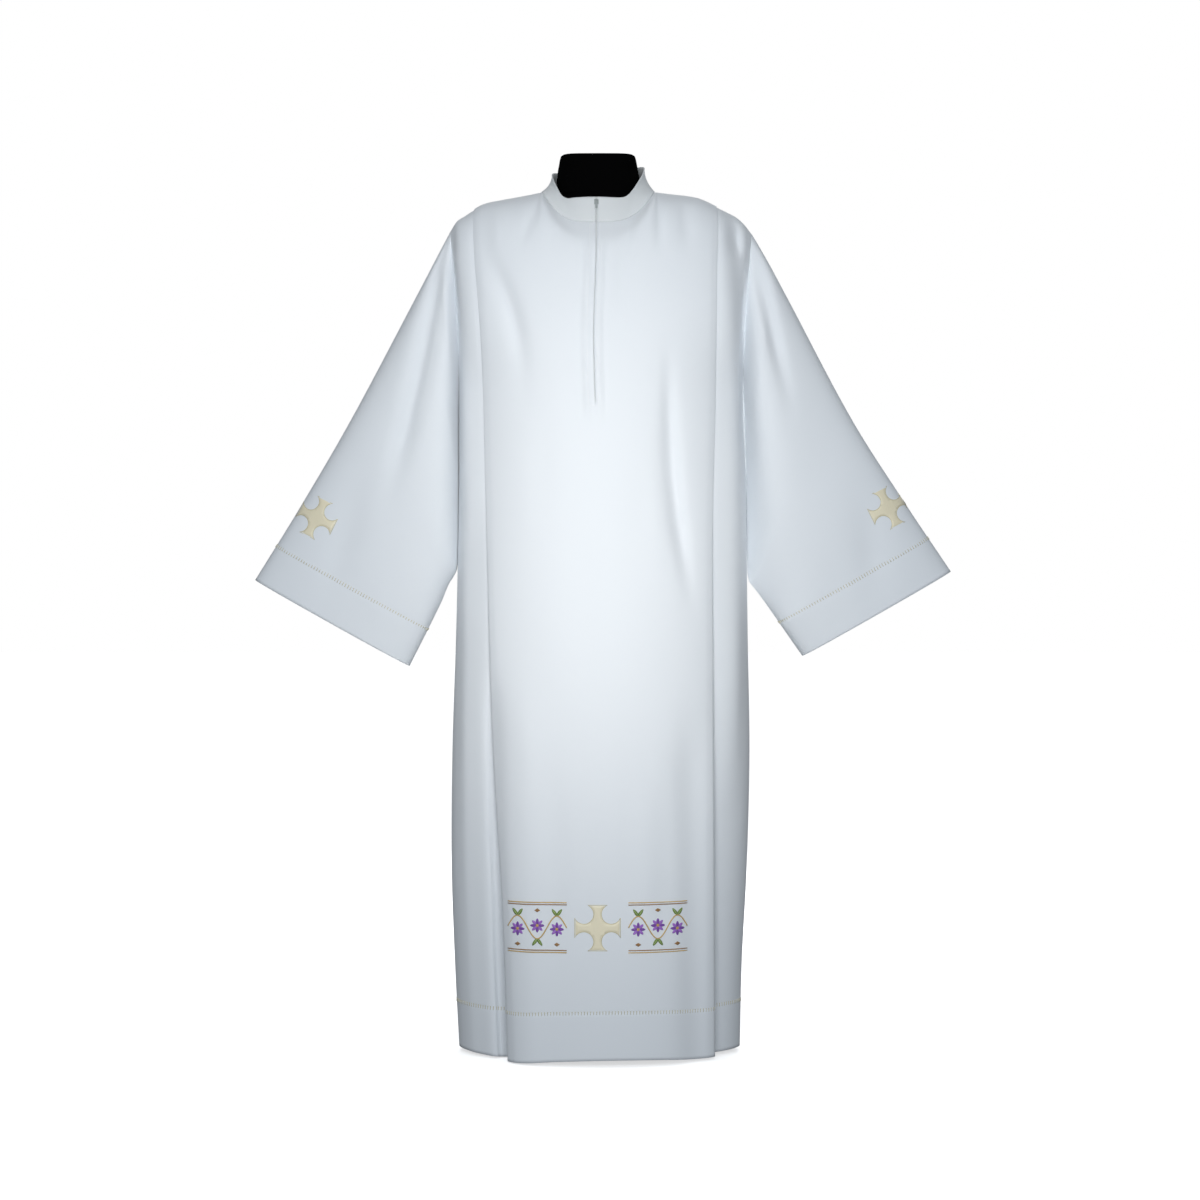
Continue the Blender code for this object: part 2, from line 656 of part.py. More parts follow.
def collar_columns():
    columns = [collar_points(LEFT, degrees) for degrees in COLLAR_DEGREES]
    columns += [collar_points(RIGHT, degrees) for degrees in reversed(COLLAR_DEGREES[:-1])]
    for column, side in ((columns[0], LEFT), (columns[-1], RIGHT)):
        for point in column:
            point.x += side * SLIT_HALF
    return columns


def make_collar(collection, material):
    mesh = grid_mesh("collar", collar_columns())
    face_outwards(mesh, 0, (0, FRONT, 0))
    item = add_object("collar", mesh, collection, material)
    add_wall(item, WALL)
    return item


def make_zip_tape(collection, material):
    """The closed zip: a strip behind the slit, from the collar's rim to below the slit."""
    inward = WALL / 2 + SEAM_GAP + TAPE_WALL / 2 + STEP / 8
    rows = []
    columns = collar_columns()
    for i in (2, 1, 0):
        ends = ((columns[0][i], columns[1][i]), (columns[-1][i], columns[-2][i]))
        rows.append(tape_row(ends, Vector((0, 1, 0.05)).normalized() * inward))
    downs = [down for down in body_downs() if down <= down_at(ZIP_END_Z)]
    body = body_rows(FRONT)
    middle = len(body[0]) // 2 - 1
    for down, row in zip(downs, body):
        ends = ((row[middle], row[middle - 1]), (row[middle + 1], row[middle + 2]))
        rows.append(tape_row(ends, outward(RIGHT, FRONT, 0.0, down) * -inward))
    rows.append([point - Vector((0, 0, 0.010)) for point in rows[-1]])
    mesh = grid_mesh("zip_tape", rows)
    face_outwards(mesh, 0, (0, FRONT, 0))
    item = add_object("zip_tape", mesh, collection, material)
    add_wall(item, TAPE_WALL)
    return item


def tape_row(ends, shift):
    """Three points across the tape, on the cloth's own flat faces, moved in."""
    edges = []
    for near, far in ends:
        share = (TAPE_HALF - SLIT_HALF) / max((far - near).length, 0.001)
        edges.append(near.lerp(far, share) + shift)
    centre = (ends[0][0] + ends[1][0]) / 2 + shift
    return [edges[0], centre, edges[1]]


# ---------------------------------------------------------------- crosses

def cross_outline(arm, flare, waist):
    """A cross whose four arms flare out from round notches, as flat points."""
    points = []
    start, control, end = Vector((flare, arm)), Vector((waist, waist)), Vector((arm, flare))
    for quarter in range(4):
        turn = math.radians(90 * quarter)
        for k in range(NOTCH_POINTS + 1):
            spot = quadratic(start, control, end, k / NOTCH_POINTS)
            points.append((spot.x * math.cos(turn) + spot.y * math.sin(turn),
                           spot.y * math.cos(turn) - spot.x * math.sin(turn)))
    return points


def make_cutter(name, outline, place, lean, collection):
    """The outline as a prism through the front cloth, leaning by an angle about Y."""
    bm = bmesh.new()
    near = [bm.verts.new((x, -CUTTER_DEPTH, z)) for x, z in outline]
    face = bm.faces.new(near)
    sides = bmesh.ops.extrude_face_region(bm, geom=[face])["geom"]
    moved = [item for item in sides if isinstance(item, bmesh.types.BMVert)]
    bmesh.ops.translate(bm, verts=moved, vec=(0, CUTTER_DEPTH, 0))
    bmesh.ops.recalc_face_normals(bm, faces=bm.faces)
    mesh = bpy.data.meshes.new(name)
    bm.to_mesh(mesh)
    bm.free()
    cutter = add_object(name, mesh, collection, None)
    cutter.location = place
    cutter.rotation_euler = (0, lean, 0)
    cutter.hide_render = True
    cutter.display_type = "WIRE"
    return cutter


def make_cross(name, cloth, cutter, collection, material):
    """An applique: the cloth's own surface, moved out and cut to the cross."""
    item = add_object(name, cloth.data.copy(), collection, None)
    item.data.materials.clear()
    item.data.materials.append(material)
    lift = item.modifiers.new("Lift", "DISPLACE")
    lift.mid_level = 0.0
    lift.strength = WALL / 2 + SEAM_GAP
    add_wall(item, APPLIQUE, offset=1.0)
    cut = item.modifiers.new("Outline", "BOOLEAN")
    cut.operation = "INTERSECT"
    cut.solver = "EXACT"
    cut.object = cutter
    return item


# ---------------------------------------------------------------- zip slider and pull

def box_mesh(name, size, place, bevel=0.0):
    """A box with its centre at a place, as a mesh in the object's own space."""
    bm = bmesh.new()
    bmesh.ops.create_cube(bm, size=1.0)
    bmesh.ops.scale(bm, vec=size, verts=bm.verts)
    bmesh.ops.translate(bm, vec=place, verts=bm.verts)
    if bevel:
        bmesh.ops.bevel(bm, geom=bm.edges[:], offset=bevel, segments=2, affect="EDGES", profile=0.5)
    mesh = bpy.data.meshes.new(name)
    bm.to_mesh(mesh)
    bm.free()
    return mesh


def combine(item, operation, name, size, place, collection):
    """Adds a box to a solid, or cuts it out, by a hidden box that follows the solid."""
    box = add_object(name, box_mesh(name, size, place), collection, None)
    box.location = item.location
    box.rotation_euler = item.rotation_euler
    box.hide_render = True
    box.display_type = "WIRE"
    change = item.modifiers.new(name, "BOOLEAN")
    change.operation = operation
    change.solver = "EXACT"
    change.object = box


def move_to(item, collection):
    for owner in list(item.users_collection):
        owner.objects.unlink(item)
    collection.objects.link(item)


def make_zip_slider(parts, cutters, material):
    """The slider's front plate on the closed collar, with the arch that holds the pull."""
    plate = add_object("zip_slider", box_mesh("zip_slider", SLIDER_SIZE, (0, 0, 0), SLIDER_BEVEL),
                       parts, material)
    plate.location = SLIDER_PLACE
    plate.rotation_euler = (COLLAR_LEAN, 0, 0)
    face_y = -SLIDER_SIZE[1] / 2
    sunk = SLIDER_SIZE[1] / 4
    combine(plate, "UNION", "arch", (ARCH_WIDTH, ARCH_REACH + sunk, 2 * ARCH_HALF),
            (0, face_y - (ARCH_REACH - sunk) / 2, AXIS_RISE), cutters)
    hole = ARCH_REACH - ARCH_WALL
    combine(plate, "DIFFERENCE", "arch_hole", (CUT_MARGIN, hole, 2 * (ARCH_HALF - ARCH_WALL)),
            (0, face_y - hole / 2 - STEP / 20, AXIS_RISE), cutters)
    return plate


def make_zip_pull(parts, cutters, material):
    """The pull tab. Its top bar lies in the slider's arch, and its origin is on that bar."""
    centre_z = PULL_SIZE[1] / 2 - PULL_SIZE[2] / 2
    tab = add_object("zip_pull", box_mesh("zip_pull", PULL_SIZE, (0, 0, centre_z), PULL_BEVEL),
                     parts, material)
    tab.location = PIVOT
    tab.rotation_euler = (COLLAR_LEAN, 0, 0)
    height = WINDOW_DROP - PULL_SIZE[1] / 2
    combine(tab, "DIFFERENCE", "pull_window", (WINDOW_WIDTH, CUT_MARGIN, height),
            (0, 0, -PULL_SIZE[1] / 2 - height / 2), cutters)
    return tab


# ---------------------------------------------------------------- dress form

def dome_top(side, x):
    """The form's shoulder line: just under the robe's, and lower under the pleats."""
    seam = read(SHOULDER, "x", side_word(side, "z"), max(x, FORM_SHOULDER_START))
    under_pleats = max(x - FORM_SHOULDER_END, 0.0) / (FORM_SHOULDER_REACH - FORM_SHOULDER_END)
    return seam - FORM_GAP - (seam - FORM_DOME_Z) * under_pleats ** 2


def dome_half_width(side, z):
    """Where the shoulder line comes down to a height."""
    low, high = 0.0, FORM_SHOULDER_REACH
    for _ in range(40):
        middle = (low + high) / 2
        if dome_top(side, middle) > z:
            low = middle
        else:
            high = middle
    return low


def dome_ring(z):
    """A ring of the shoulders, with the neck's foot standing out of them."""
    neck_width = read(NECK_RINGS, "z", "half_width", z)
    neck_depth = read(NECK_RINGS, "z", "half_depth", z)
    ring = []
    for i in range(2 * RING_HALF_POINTS):
        angle = math.pi * i / RING_HALF_POINTS
        side = RIGHT if math.cos(angle) >= 0 else LEFT
        half = max(dome_half_width(side, z), neck_width)
        reach = half * abs(math.cos(angle))
        top = dome_top(side, reach)
        height_share = (z - FORM_DOME_Z) / (top - FORM_DOME_Z) if top > FORM_DOME_Z else 1.0
        depth = FORM_DOME_DEPTH * max(1 - height_share ** 2, 0.0) ** FORM_DOME_POWER
        depth *= math.sqrt(1 - (reach / FORM_PLAN_WIDTH) ** FORM_PLAN_POWER)
        if reach < neck_width:
            depth = max(depth, neck_depth * math.sqrt(1 - (reach / neck_width) ** 2))
        ring.append(Vector((side * reach, -depth * math.copysign(1, math.sin(angle)), z)))
        if i in (0, RING_HALF_POINTS):
            ring[-1].y = 0.0
    return ring


def power_of(value, power):
    """A signed value's size raised to a power, with its sign kept."""
    return math.copysign(abs(value) ** power, value)


def plan_ring(z, half_width, half_depth, centre_x=0.0, power=2.0):
    """A level ring, an oval for a power of 2 and squarer for a higher one."""
    ring = []
    for i in range(2 * RING_HALF_POINTS):
        angle = math.pi * i / RING_HALF_POINTS
        x = centre_x + half_width * power_of(math.cos(angle), 2 / power)
        ring.append(Vector((x, -half_depth * power_of(math.sin(angle), 2 / power), z)))
    return ring


def make_form_torso(collection, material):
    rings = [plan_ring(row.z, row.half_width, row.half_depth) for row in TORSO_RINGS]
    rings += [dome_ring(z) for z in DOME_LEVELS]
    rings += [plan_ring(row.z, row.half_width, row.half_depth, row.centre_x, row.power)
              for row in NECK_RINGS if row.z > DOME_LEVELS[-1]]
    mesh = grid_mesh("form_torso", rings, closed=True, caps=True)
    mesh.set_sharp_from_angle(angle=math.radians(50))
    return add_object("form_torso", mesh, collection, material)


def make_cylinder(name, radius, low, high, vertices, bevel, collection, material):
    bpy.ops.mesh.primitive_cylinder_add(vertices=vertices, radius=radius, depth=high - low,
                                        location=(0, 0, (low + high) / 2))
    item = bpy.context.object
    item.name = item.data.name = name
    move_to(item, collection)
    item.data.materials.append(material)
    item.data.shade_smooth()
    item.data.set_sharp_from_angle(angle=math.radians(40))
    if bevel:
        rounding = item.modifiers.new("Rounding", "BEVEL")
        rounding.width = bevel
        rounding.segments = 2
        rounding.limit_method = "ANGLE"
    return item


# ---------------------------------------------------------------- the whole part

def main():
    clear_scene()
    parts = make_collection("alb_robe_on_dress_form")
    cutters = make_collection("cutters")
    cloth = make_material("white_cloth", (0.80, 0.83, 0.84), 0.85)
    beige = make_material("beige_applique", (0.78, 0.70, 0.52), 0.80)
    tape = make_material("zip_tape", (0.70, 0.71, 0.70), 0.75)
    slider = make_material("pale_zip_enamel", (0.82, 0.82, 0.80), 0.35)
    black_cloth = make_material("black_jersey", (0.01, 0.01, 0.01), 0.90)
    steel = make_material("black_steel", (0.03, 0.03, 0.03), 0.45, 0.6)

    front = make_body_panel("front_panel", FRONT, parts, cloth)
    make_body_panel("back_panel", BACK, parts, cloth)
    sleeves = {LEFT: make_sleeve("sleeve_left", LEFT, parts, cloth),
               RIGHT: make_sleeve("sleeve_right", RIGHT, parts, cloth)}
    make_collar(parts, cloth)
    make_zip_tape(parts, tape)

    outline = cross_outline(CROSS_ARM, CROSS_FLARE, CROSS_WAIST)
    for side, name in ((LEFT, "left"), (RIGHT, "right")):
        cutter = make_cutter("cutter_cross_" + name, outline, SLEEVE_CROSS_PLACE[side],
                             -side * SLEEVE_CROSS_LEAN, cutters)
        make_cross("cross_" + name, sleeves[side], cutter, parts, beige)
    cutter = make_cutter("cutter_cross_hem", cross_outline(HEM_CROSS_ARM, HEM_CROSS_FLARE, CROSS_WAIST),
                         HEM_CROSS_PLACE, 0.0, cutters)
    make_cross("cross_hem", front, cutter, parts, beige)

    make_zip_slider(parts, cutters, slider)
    make_zip_pull(parts, cutters, slider)

    make_form_torso(parts, black_cloth)
    make_cylinder("form_pole", POLE_RADIUS, BASE_HEIGHT + SEAM_GAP, FORM_BOTTOM_Z - SEAM_GAP,
                  24, 0.0, parts, steel)
    make_cylinder("form_base", BASE_RADIUS, 0.0, BASE_HEIGHT, 48, 0.002, parts, steel)


main()
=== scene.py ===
"""Looks of the alb robe on its dress form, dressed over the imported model.

The robe's body and sleeves follow the same sizes as the solids, sampled more
finely, with the small creases, the sewing and the embroidery added. Metres,
+Z up, the front towards -Y; left is -X.

A place on the robe's body is a side, a face, how far across it is (0 on the
centre line, 1 at the side seam) and how far down (0 at the neckline or the
shoulder seam, 1 at the yoke line, 2 at the hem).
"""
import math
from collections import namedtuple
from functools import lru_cache

import bmesh
import bpy
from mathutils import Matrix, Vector
from mathutils.bvhtree import BVHTree


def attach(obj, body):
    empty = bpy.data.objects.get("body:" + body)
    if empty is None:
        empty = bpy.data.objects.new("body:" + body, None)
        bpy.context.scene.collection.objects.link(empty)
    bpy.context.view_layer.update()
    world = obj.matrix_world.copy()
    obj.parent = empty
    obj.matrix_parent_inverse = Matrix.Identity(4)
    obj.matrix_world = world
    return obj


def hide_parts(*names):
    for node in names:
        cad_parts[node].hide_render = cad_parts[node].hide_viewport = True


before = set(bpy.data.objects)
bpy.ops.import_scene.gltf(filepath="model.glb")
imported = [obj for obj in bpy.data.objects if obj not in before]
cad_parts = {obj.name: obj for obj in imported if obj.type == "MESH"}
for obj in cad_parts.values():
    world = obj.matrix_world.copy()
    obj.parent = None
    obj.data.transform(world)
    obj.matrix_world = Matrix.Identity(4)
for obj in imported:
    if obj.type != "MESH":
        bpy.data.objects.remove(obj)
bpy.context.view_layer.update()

ROBE_BODY = "robe_and_form"
LEFT, RIGHT = -1, 1
WORDS = {LEFT: "left", RIGHT: "right"}
FRONT, BACK = -1, 1
STEP = 0.001
NO_LENGTH = 1e-7                # shorter lines have no direction
RAY_FROM = 2.0                  # rays start this far in front of the cloth or behind it
NEAR_CLOTH = 0.02               # and one that misses looks for the nearest cloth from here

# ---- cloth, seen as thin shells on the solids' surfaces
WALL = 0.0012
COLLAR_WALL = 0.0018
PANEL_SEAM = 0.00005
COLLAR_SEAM = 0.0
SLIT_HALF = 0.0005
ZIP_END_Z = 1.080
CORNER_COLUMN = 0.5             # where, before its pleat, a panel has the neckline's corner
ZIP_TOP_X = -0.0060

# ---- sampling
YOKE_ROWS = 34
BODY_ROWS = 150
HEM_ROWS = 12
GROOVE_MARGIN = 0.012           # rows are even down to this far from the hemstitch
HEM_GROOVE_ROWS = (0.0090, 0.0060, 0.0035, 0.0018, 0.0, -0.0018, -0.0035, -0.0060, -0.0090)
PANEL_COLUMNS = 58
SIDE_COLUMNS = 24
TURN_POINTS = 7                 # round a pleat's folded edge that shows
FOLD_COLUMNS = 3
INNER_TURN_POINTS = 4           # and round the one behind the panel
ACROSS_STEP = 0.01              # steps over which a place's directions are measured
DOWN_STEP = 0.02
ARMHOLE_RINGS = 8               # rings in which a sleeve leaves the armhole's shape
SLEEVE_ROWS = 110
SLEEVE_COLUMNS = 56
COLLAR_ROWS = 14
COLLAR_COLUMNS = 60
COLLAR_STITCH_ROWS = (2, COLLAR_ROWS - 1)

# ---- hems, with the drawn-thread line above each
HEMSTITCH_Z = 0.086
CUFF_BAND = 0.068               # from the cuff's edge up to its line
CUFF_SEARCH_FROM = 0.3          # that line lies between here and the cuff, and is found by halving
CUFF_SEARCH_STEPS = 30
GROOVE_WIDTH = 0.0022
GROOVE_DEPTH = 0.0006
BAND_LIFT = 0.0007              # the doubled cloth of a hem stands this far proud

# ---- sleeves
SETTLE = {LEFT: 0.05, RIGHT: 0.11}      # by this share of its length a sleeve has left the armhole's shape
ROUND_FROM = 0.130              # and by this share its underside is no longer pointed
SLEEVE_POWER = 0.68             # how flat a sleeve hangs: 1 is an ellipse in section
SOFT = {LEFT: 0.15, RIGHT: 0.95}        # how gradually its underside rises beside the body
SOFT_END = 0.80                 # where along it that softness ends

# ---- sewing
TOPSTITCH_PITCH = 0.0042
TOPSTITCH_LENGTH = 0.0030
TOPSTITCH_RADIUS = 0.00035
COLLAR_STITCH_RISE = 0.1        # how far the collar's stitches lean up as they stand out
STITCH_PROFILE = ((-1, -0.6), (-0.5, 0.5), (0.5, 0.5), (1, -0.6))   # place in half lengths, rise in radii
BUNDLE_PITCH = 0.0050
BUNDLE_HALF = 0.0030
BUNDLE_RADIUS = 0.00105
BUNDLE_RISE = 0.3               # of its middle, in radii
BUNDLE_RADII = [BUNDLE_RADIUS * share for share in (0.9, 0.55, 0.9)]

# ---- crosses: an arm's length, half its width at its end, and half its width where it is narrowest
CROSS_ARM = 0.0335
CROSS_FLARE = 0.0145
CROSS_WAIST = 0.0062
CROSS_HEIGHT = 0.0009
UNDER_CLOTH = -STEP / 2         # where the edge of a raised shape ends
CROSS_PROFILE = ((-1.0, UNDER_CLOTH), (-0.86, 0.7 * CROSS_HEIGHT), (-0.45, CROSS_HEIGHT), (0.0, CROSS_HEIGHT),
                 (0.45, CROSS_HEIGHT), (0.86, 0.7 * CROSS_HEIGHT), (1.0, UNDER_CLOTH))
CROSS_ROWS = 9                  # rows of points along each arm
CROSS_GRID = 5                  # and each way over the middle
NOTCH_POINTS = 16               # round each notch
CORD_RADIUS = 0.00050
COUCHED_RISE = 0.35             # how far a cord's middle is off the cloth, in radii
SLEEVE_CROSS_LEAN = math.radians(27)
SLEEVE_CROSS_PLACE = {LEFT: (-0.4737, 0.8952), RIGHT: (0.4820, 0.9120)}
HEM_CROSS_ARM = 0.0370
HEM_CROSS_FLARE = 0.0158
HEM_CROSS_PLACE = (-0.0040, 0.2256)

# ---- embroidery beside the hem's cross: a scroll border of the builder's own, not the photo's design
BORDER_INNER = 0.050            # where each half of the border starts, from the cross's middle
BORDER_OUTER = 0.146
BORDER_BAYS = 3                 # half waves of the scroll on each side, with a rosette in each
SCROLL_HEIGHT = 0.0185
SCROLL_RADIUS = 0.0011
SCROLL_POINTS = 49
RAIL_HEIGHT = 0.0370            # the straight cords above and below
RAIL_RADIUS = 0.0009
RAIL_POINTS = 25
RAIL_GAP = 0.0035               # between each rail's two cords
PETALS = 8
PETAL_PLACE = 0.0068
PETAL_HALF = (0.0048, 0.0025)
ROSETTE_RISE = -0.0030          # a rosette's middle, against its bay's crest
EYE_REACH = 0.0026
SPRIG_SPREAD = 0.62
SPRIG_HALF = (0.0066, 0.0026)
VEIN_ENDS = (1.1, 1.8)          # a leaf vein's middle and tip, in half lengths of the leaf
VEIN_RADIUS = 0.0005
LOZENGE_HALF = (0.0050, 0.0032)
STITCH_RISE = 0.0008
PAD_RINGS = 2
OVAL_TAPER = 0.25               # how much slimmer an oval is at its tip

# ---- zip
TOOTH_PITCH = 0.0013
TOOTH_SIZE = (0.0024, 0.0009, 0.0008)
TOOTH_SHIFT = (0.0004, 0.0003)  # to left and right in turn, and back
ZIP_STITCH_TOP_Z = 1.378
ZIP_STITCH_DROP = 0.006         # from the zip's end down to the row below it
ZIP_STITCH_LEFT = 0.0110
ZIP_STITCH_RIGHT = 0.0060
ZIP_LIPS = ((-0.0125, 0.0050), (0.0085, 0.0040))     # place beside the zip, and width
ZIP_LIP_HEIGHT = 0.0038
ZIP_LIP_FADE = 0.03

THREAD_COLOURS = (
    ("gold", (0.60, 0.40, 0.13)),
    ("gold_dark", (0.32, 0.17, 0.06)),
    ("purple", (0.20, 0.07, 0.38)),
    ("purple_light", (0.36, 0.16, 0.58)),
    ("leaf", (0.17, 0.26, 0.05)),
    ("leaf_light", (0.40, 0.52, 0.20)),
)

# ---- camera and light
CAMERA_PLACE = (0, -4.0, 0.758)
CAMERA_LENS = 71.16
SENSOR_WIDTH = 36.0
FILL_COLOUR = (0.86, 0.93, 1.0)
FILL_STRENGTH = 0.20
FLOOR_GLOW_NEAR = 0.60
FLOOR_GLOW_FAR = 0.90
FLOOR_GLOW_REACH = (0.35, 1.6)  # from the first glow to the second, in metres from the pole
FLOOR_HALF = 30.0
Light = namedtuple("Light", "name place aim size power spread colour")
LIGHTS = (
    Light("spot", (-0.02, -1.15, 0.86), (-0.01, 0, 0.86), (0.5, 0.9), 0.60, 50, (1.0, 0.94, 0.86)),
    Light("base", (0.0, -2.6, 1.2), (0, 0, 0.85), (1.4, 1.4), 38.0, 180, (0.92, 0.96, 1.0)),
    Light("soft", (-0.7, -1.7, 2.6), (0, 0, 1.3), (1.5, 1.5), 3.0, 180, (1.0, 1.0, 1.0)),
    Light("top", (0.0, -0.4, 3.2), (0, 0, 1.0), (2.0, 2.0), 6.0, 180, (1.0, 1.0, 1.0)),
    Light("back", (0.3, 2.6, 1.8), (0, 0, 0.9), (2.0, 2.0), 50.0, 180, (1.0, 1.0, 1.0)),
)

# Small creases that only the cloth here shows, as in BODY_FOLDS.
Fold = namedtuple("Fold", "face x0 z0 x1 z1 x2 z2 width depth")
BODY_CREASES = (
    Fold(FRONT, -0.182, 1.330, -0.138, 1.205, -0.124, 1.090, 0.013, 0.0034),
    Fold(FRONT, 0.042, 1.420, 0.038, 1.290, 0.036, 1.200, 0.012, 0.0022),
    Fold(FRONT, 0.112, 1.150, 0.121, 0.930, 0.152, 0.740, 0.012, 0.0075),
    Fold(FRONT, 0.222, 1.400, 0.233, 1.170, 0.243, 0.950, 0.013, 0.0170),
    Fold(FRONT, -0.065, 1.166, -0.052, 1.110, -0.041, 1.060, 0.012, 0.0018),
    Fold(FRONT, -0.090, 1.050, -0.092, 0.960, -0.088, 0.860, 0.018, 0.0018),
    Fold(FRONT, 0.060, 1.000, 0.064, 0.900, 0.060, 0.780, 0.022, 0.0020),
    Fold(FRONT, -0.020, 0.900, -0.026, 0.760, -0.022, 0.600, 0.028, 0.0020),
    Fold(FRONT, -0.075, 0.480, -0.070, 0.300, -0.074, 0.120, 0.022, 0.0025),
    Fold(FRONT, 0.040, 0.520, 0.046, 0.360, 0.050, 0.200, 0.024, 0.0022),
    Fold(FRONT, 0.100, 0.440, 0.104, 0.300, 0.100, 0.140, 0.020, 0.0025),
    Fold(BACK, 0.030, 0.900, 0.022, 0.700, 0.028, 0.500, 0.026, 0.0025),
    Fold(BACK, -0.110, 0.560, -0.114, 0.380, -0.110, 0.180, 0.024, 0.0030),
)
CHEST_CREASES = (
    Fold(FRONT, 0.222, 1.400, 0.233, 1.170, 0.243, 0.950, 0.013, 0.0120),
    Fold(FRONT, -0.103, 1.418, -0.120, 1.378, -0.134, 1.320, 0.010, 0.0140),
    Fold(FRONT, -0.072, 1.400, -0.080, 1.365, -0.084, 1.310, 0.009, 0.0100),
    Fold(FRONT, 0.054, 1.385, 0.048, 1.350, 0.042, 1.290, 0.009, 0.0110),
    Fold(FRONT, 0.099, 1.400, 0.097, 1.345, 0.091, 1.285, 0.010, 0.0130),
    Fold(FRONT, 0.140, 1.420, 0.142, 1.370, 0.140, 1.300, 0.013, 0.0110),
    Fold(BACK, -0.060, 1.400, -0.066, 1.360, -0.072, 1.320, 0.014, 0.0080),
    Fold(BACK, 0.070, 1.400, 0.078, 1.350, 0.082, 1.310, 0.014, 0.0080),
)
SLEEVE_CREASES = (
    Fold(FRONT, 0.231, 1.400, 0.2385, 1.170, 0.250, 0.900, 0.012, 0.0110),
    Fold(FRONT, -0.243, 1.400, -0.2790, 1.160, -0.3300, 0.9600, 0.008, -0.0025),
    Fold(FRONT, 0.241, 1.400, 0.2665, 1.235, 0.300, 1.090, 0.008, -0.0015),
    Fold(FRONT, -0.410, 0.760, -0.420, 0.730, -0.424, 0.700, 0.014, 0.0040),
    Fold(FRONT, -0.360, 0.790, -0.372, 0.740, -0.376, 0.690, 0.016, -0.0035),
    Fold(FRONT, 0.520, 0.880, 0.560, 0.820, 0.585, 0.800, 0.014, 0.0050),
    Fold(FRONT, 0.380, 0.820, 0.392, 0.760, 0.400, 0.700, 0.018, 0.0035),
    Fold(BACK, 0.340, 0.850, 0.352, 0.760, 0.370, 0.690, 0.018, 0.0040),
)
COLLAR_CREASES = (
    Fold(FRONT, 0.052, 1.435, 0.055, 1.412, 0.058, 1.380, 0.009, 0.0080),
    Fold(FRONT, -0.052, 1.435, -0.056, 1.412, -0.060, 1.380, 0.009, 0.0080),
    Fold(FRONT, -0.078, 1.460, -0.082, 1.435, -0.088, 1.410, 0.008, 0.0080),
)

# ---- body of the robe
HEM_Z = 0.008
YOKE_Z = 1.320
ARMPIT_Z = 1.100
SHOULDER_END_Z = 1.3752
ARMHOLE_REACH = 0.060           # how far the armhole stands forward of the side seam
ROUNDNESS = 2.1                 # power of the body's plan, across
ARMHOLE_ROUNDNESS = 2.6         # and beside the armhole
PLAN_TURN = 1 / ROUNDNESS       # power of the plan, forwards: lower turns more sharply at the side
ARMHOLE_TURN = 0.75             # and beside the armhole
DIP_POWER = 8                   # how far up the front the hem's dips are felt
VALLEY = {LEFT: 0.026, RIGHT: 0.020}    # how far the cloth sinks in along each armhole
VALLEY_WIDTH = 0.018
SIDE_RIDGE = 0.008              # how full the side panel hangs between its pleat and its seam
RIDGE_PLACE = 0.38              # where across it that fullness is
RIDGE_WIDTH = 0.22
RIDGE_DIES_Z = (0.62, 0.40)     # the heights between which it dies out on the right
GROOVE_BY_PLEAT = 0.0020        # how far the cloth dips beside a pleat's folded edge
PLEAT_GROOVE_WIDTH = 0.0060
NECKLINE_POWER = 3.2            # how squarely the neckline turns up at its sides

# ---- neckline and collar
NECK_X = -0.003
NECK_HALF = 0.0955
NECK_FRONT = 0.080
NECK_BACK = 0.072
NECK_FRONT_Z = 1.3827
NECK_SIDE_Z = 1.4445
NECK_BACK_Z = 1.450
COLLAR_HALF = 0.0775
COLLAR_FRONT = 0.0735
COLLAR_BACK = 0.064
COLLAR_HOLLOW = 0.0050          # how far the collar's sides bow in
COLLAR_CREASE_SHIFT = 0.12      # how far below the collar's middle its creases are deepest

# ---- pleats
PLEAT_FOLD = 0.036              # how far each pleat goes in behind the panel
SHOULDER_SLOPE = 0.10           # how steeply the cloth leaves the shoulder seam
CHEST_LEAN = 0.85               # how far forward it goes as it leaves the neckline's front
BACK_LEAN = 1.0                 # and how far back behind the neck
SIDE_RISE = 1.2                 # how soon the side panel comes back out to the side seam
YOKE_REACH = 0.42               # how far the seam and the yoke line hold the cloth's direction
CREASE_EASE = 4                 # the chest's creases fade within a fourth of the way to either

Level = namedtuple("Level", "z left_side right_side left_pleat right_pleat depth step")
LEVELS = (
    Level(1.375, 0.2513, 0.2546, 0.2125, 0.1970, 0.108, 0.0009),
    Level(1.320, 0.2465, 0.2495, 0.2065, 0.1930, 0.121, 0.0010),
    Level(1.200, 0.2385, 0.2430, 0.1960, 0.1912, 0.137, 0.0014),
    Level(1.080, 0.2370, 0.2420, 0.1910, 0.1895, 0.143, 0.0022),
    Level(0.900, 0.2380, 0.2460, 0.1862, 0.1845, 0.146, 0.0036),
    Level(0.700, 0.2420, 0.2485, 0.1805, 0.1838, 0.148, 0.0064),
    Level(0.500, 0.2483, 0.2515, 0.1730, 0.1838, 0.149, 0.0110),
    Level(0.300, 0.2493, 0.2465, 0.1605, 0.1842, 0.150, 0.0150),
    Level(0.150, 0.2440, 0.2385, 0.1535, 0.1848, 0.151, 0.0175),
    Level(0.008, 0.2367, 0.2350, 0.1490, 0.1853, 0.152, 0.0190),
)

Shoulder = namedtuple("Shoulder", "x left_z right_z")
SHOULDER = (
    Shoulder(0.0925, 1.4455, 1.4446),
    Shoulder(0.120, 1.4398, 1.4412),
    Shoulder(0.148, 1.4345, 1.4380),
    Shoulder(0.168, 1.4310, 1.4338),
    Shoulder(0.195, 1.4250, 1.4215),
    Shoulder(0.214, 1.4150, 1.4118),
    Shoulder(0.228, 1.4050, 1.4038),
    Shoulder(0.242, 1.3945, 1.3915),
    Shoulder(0.2546, 1.3735, 1.3752),
)

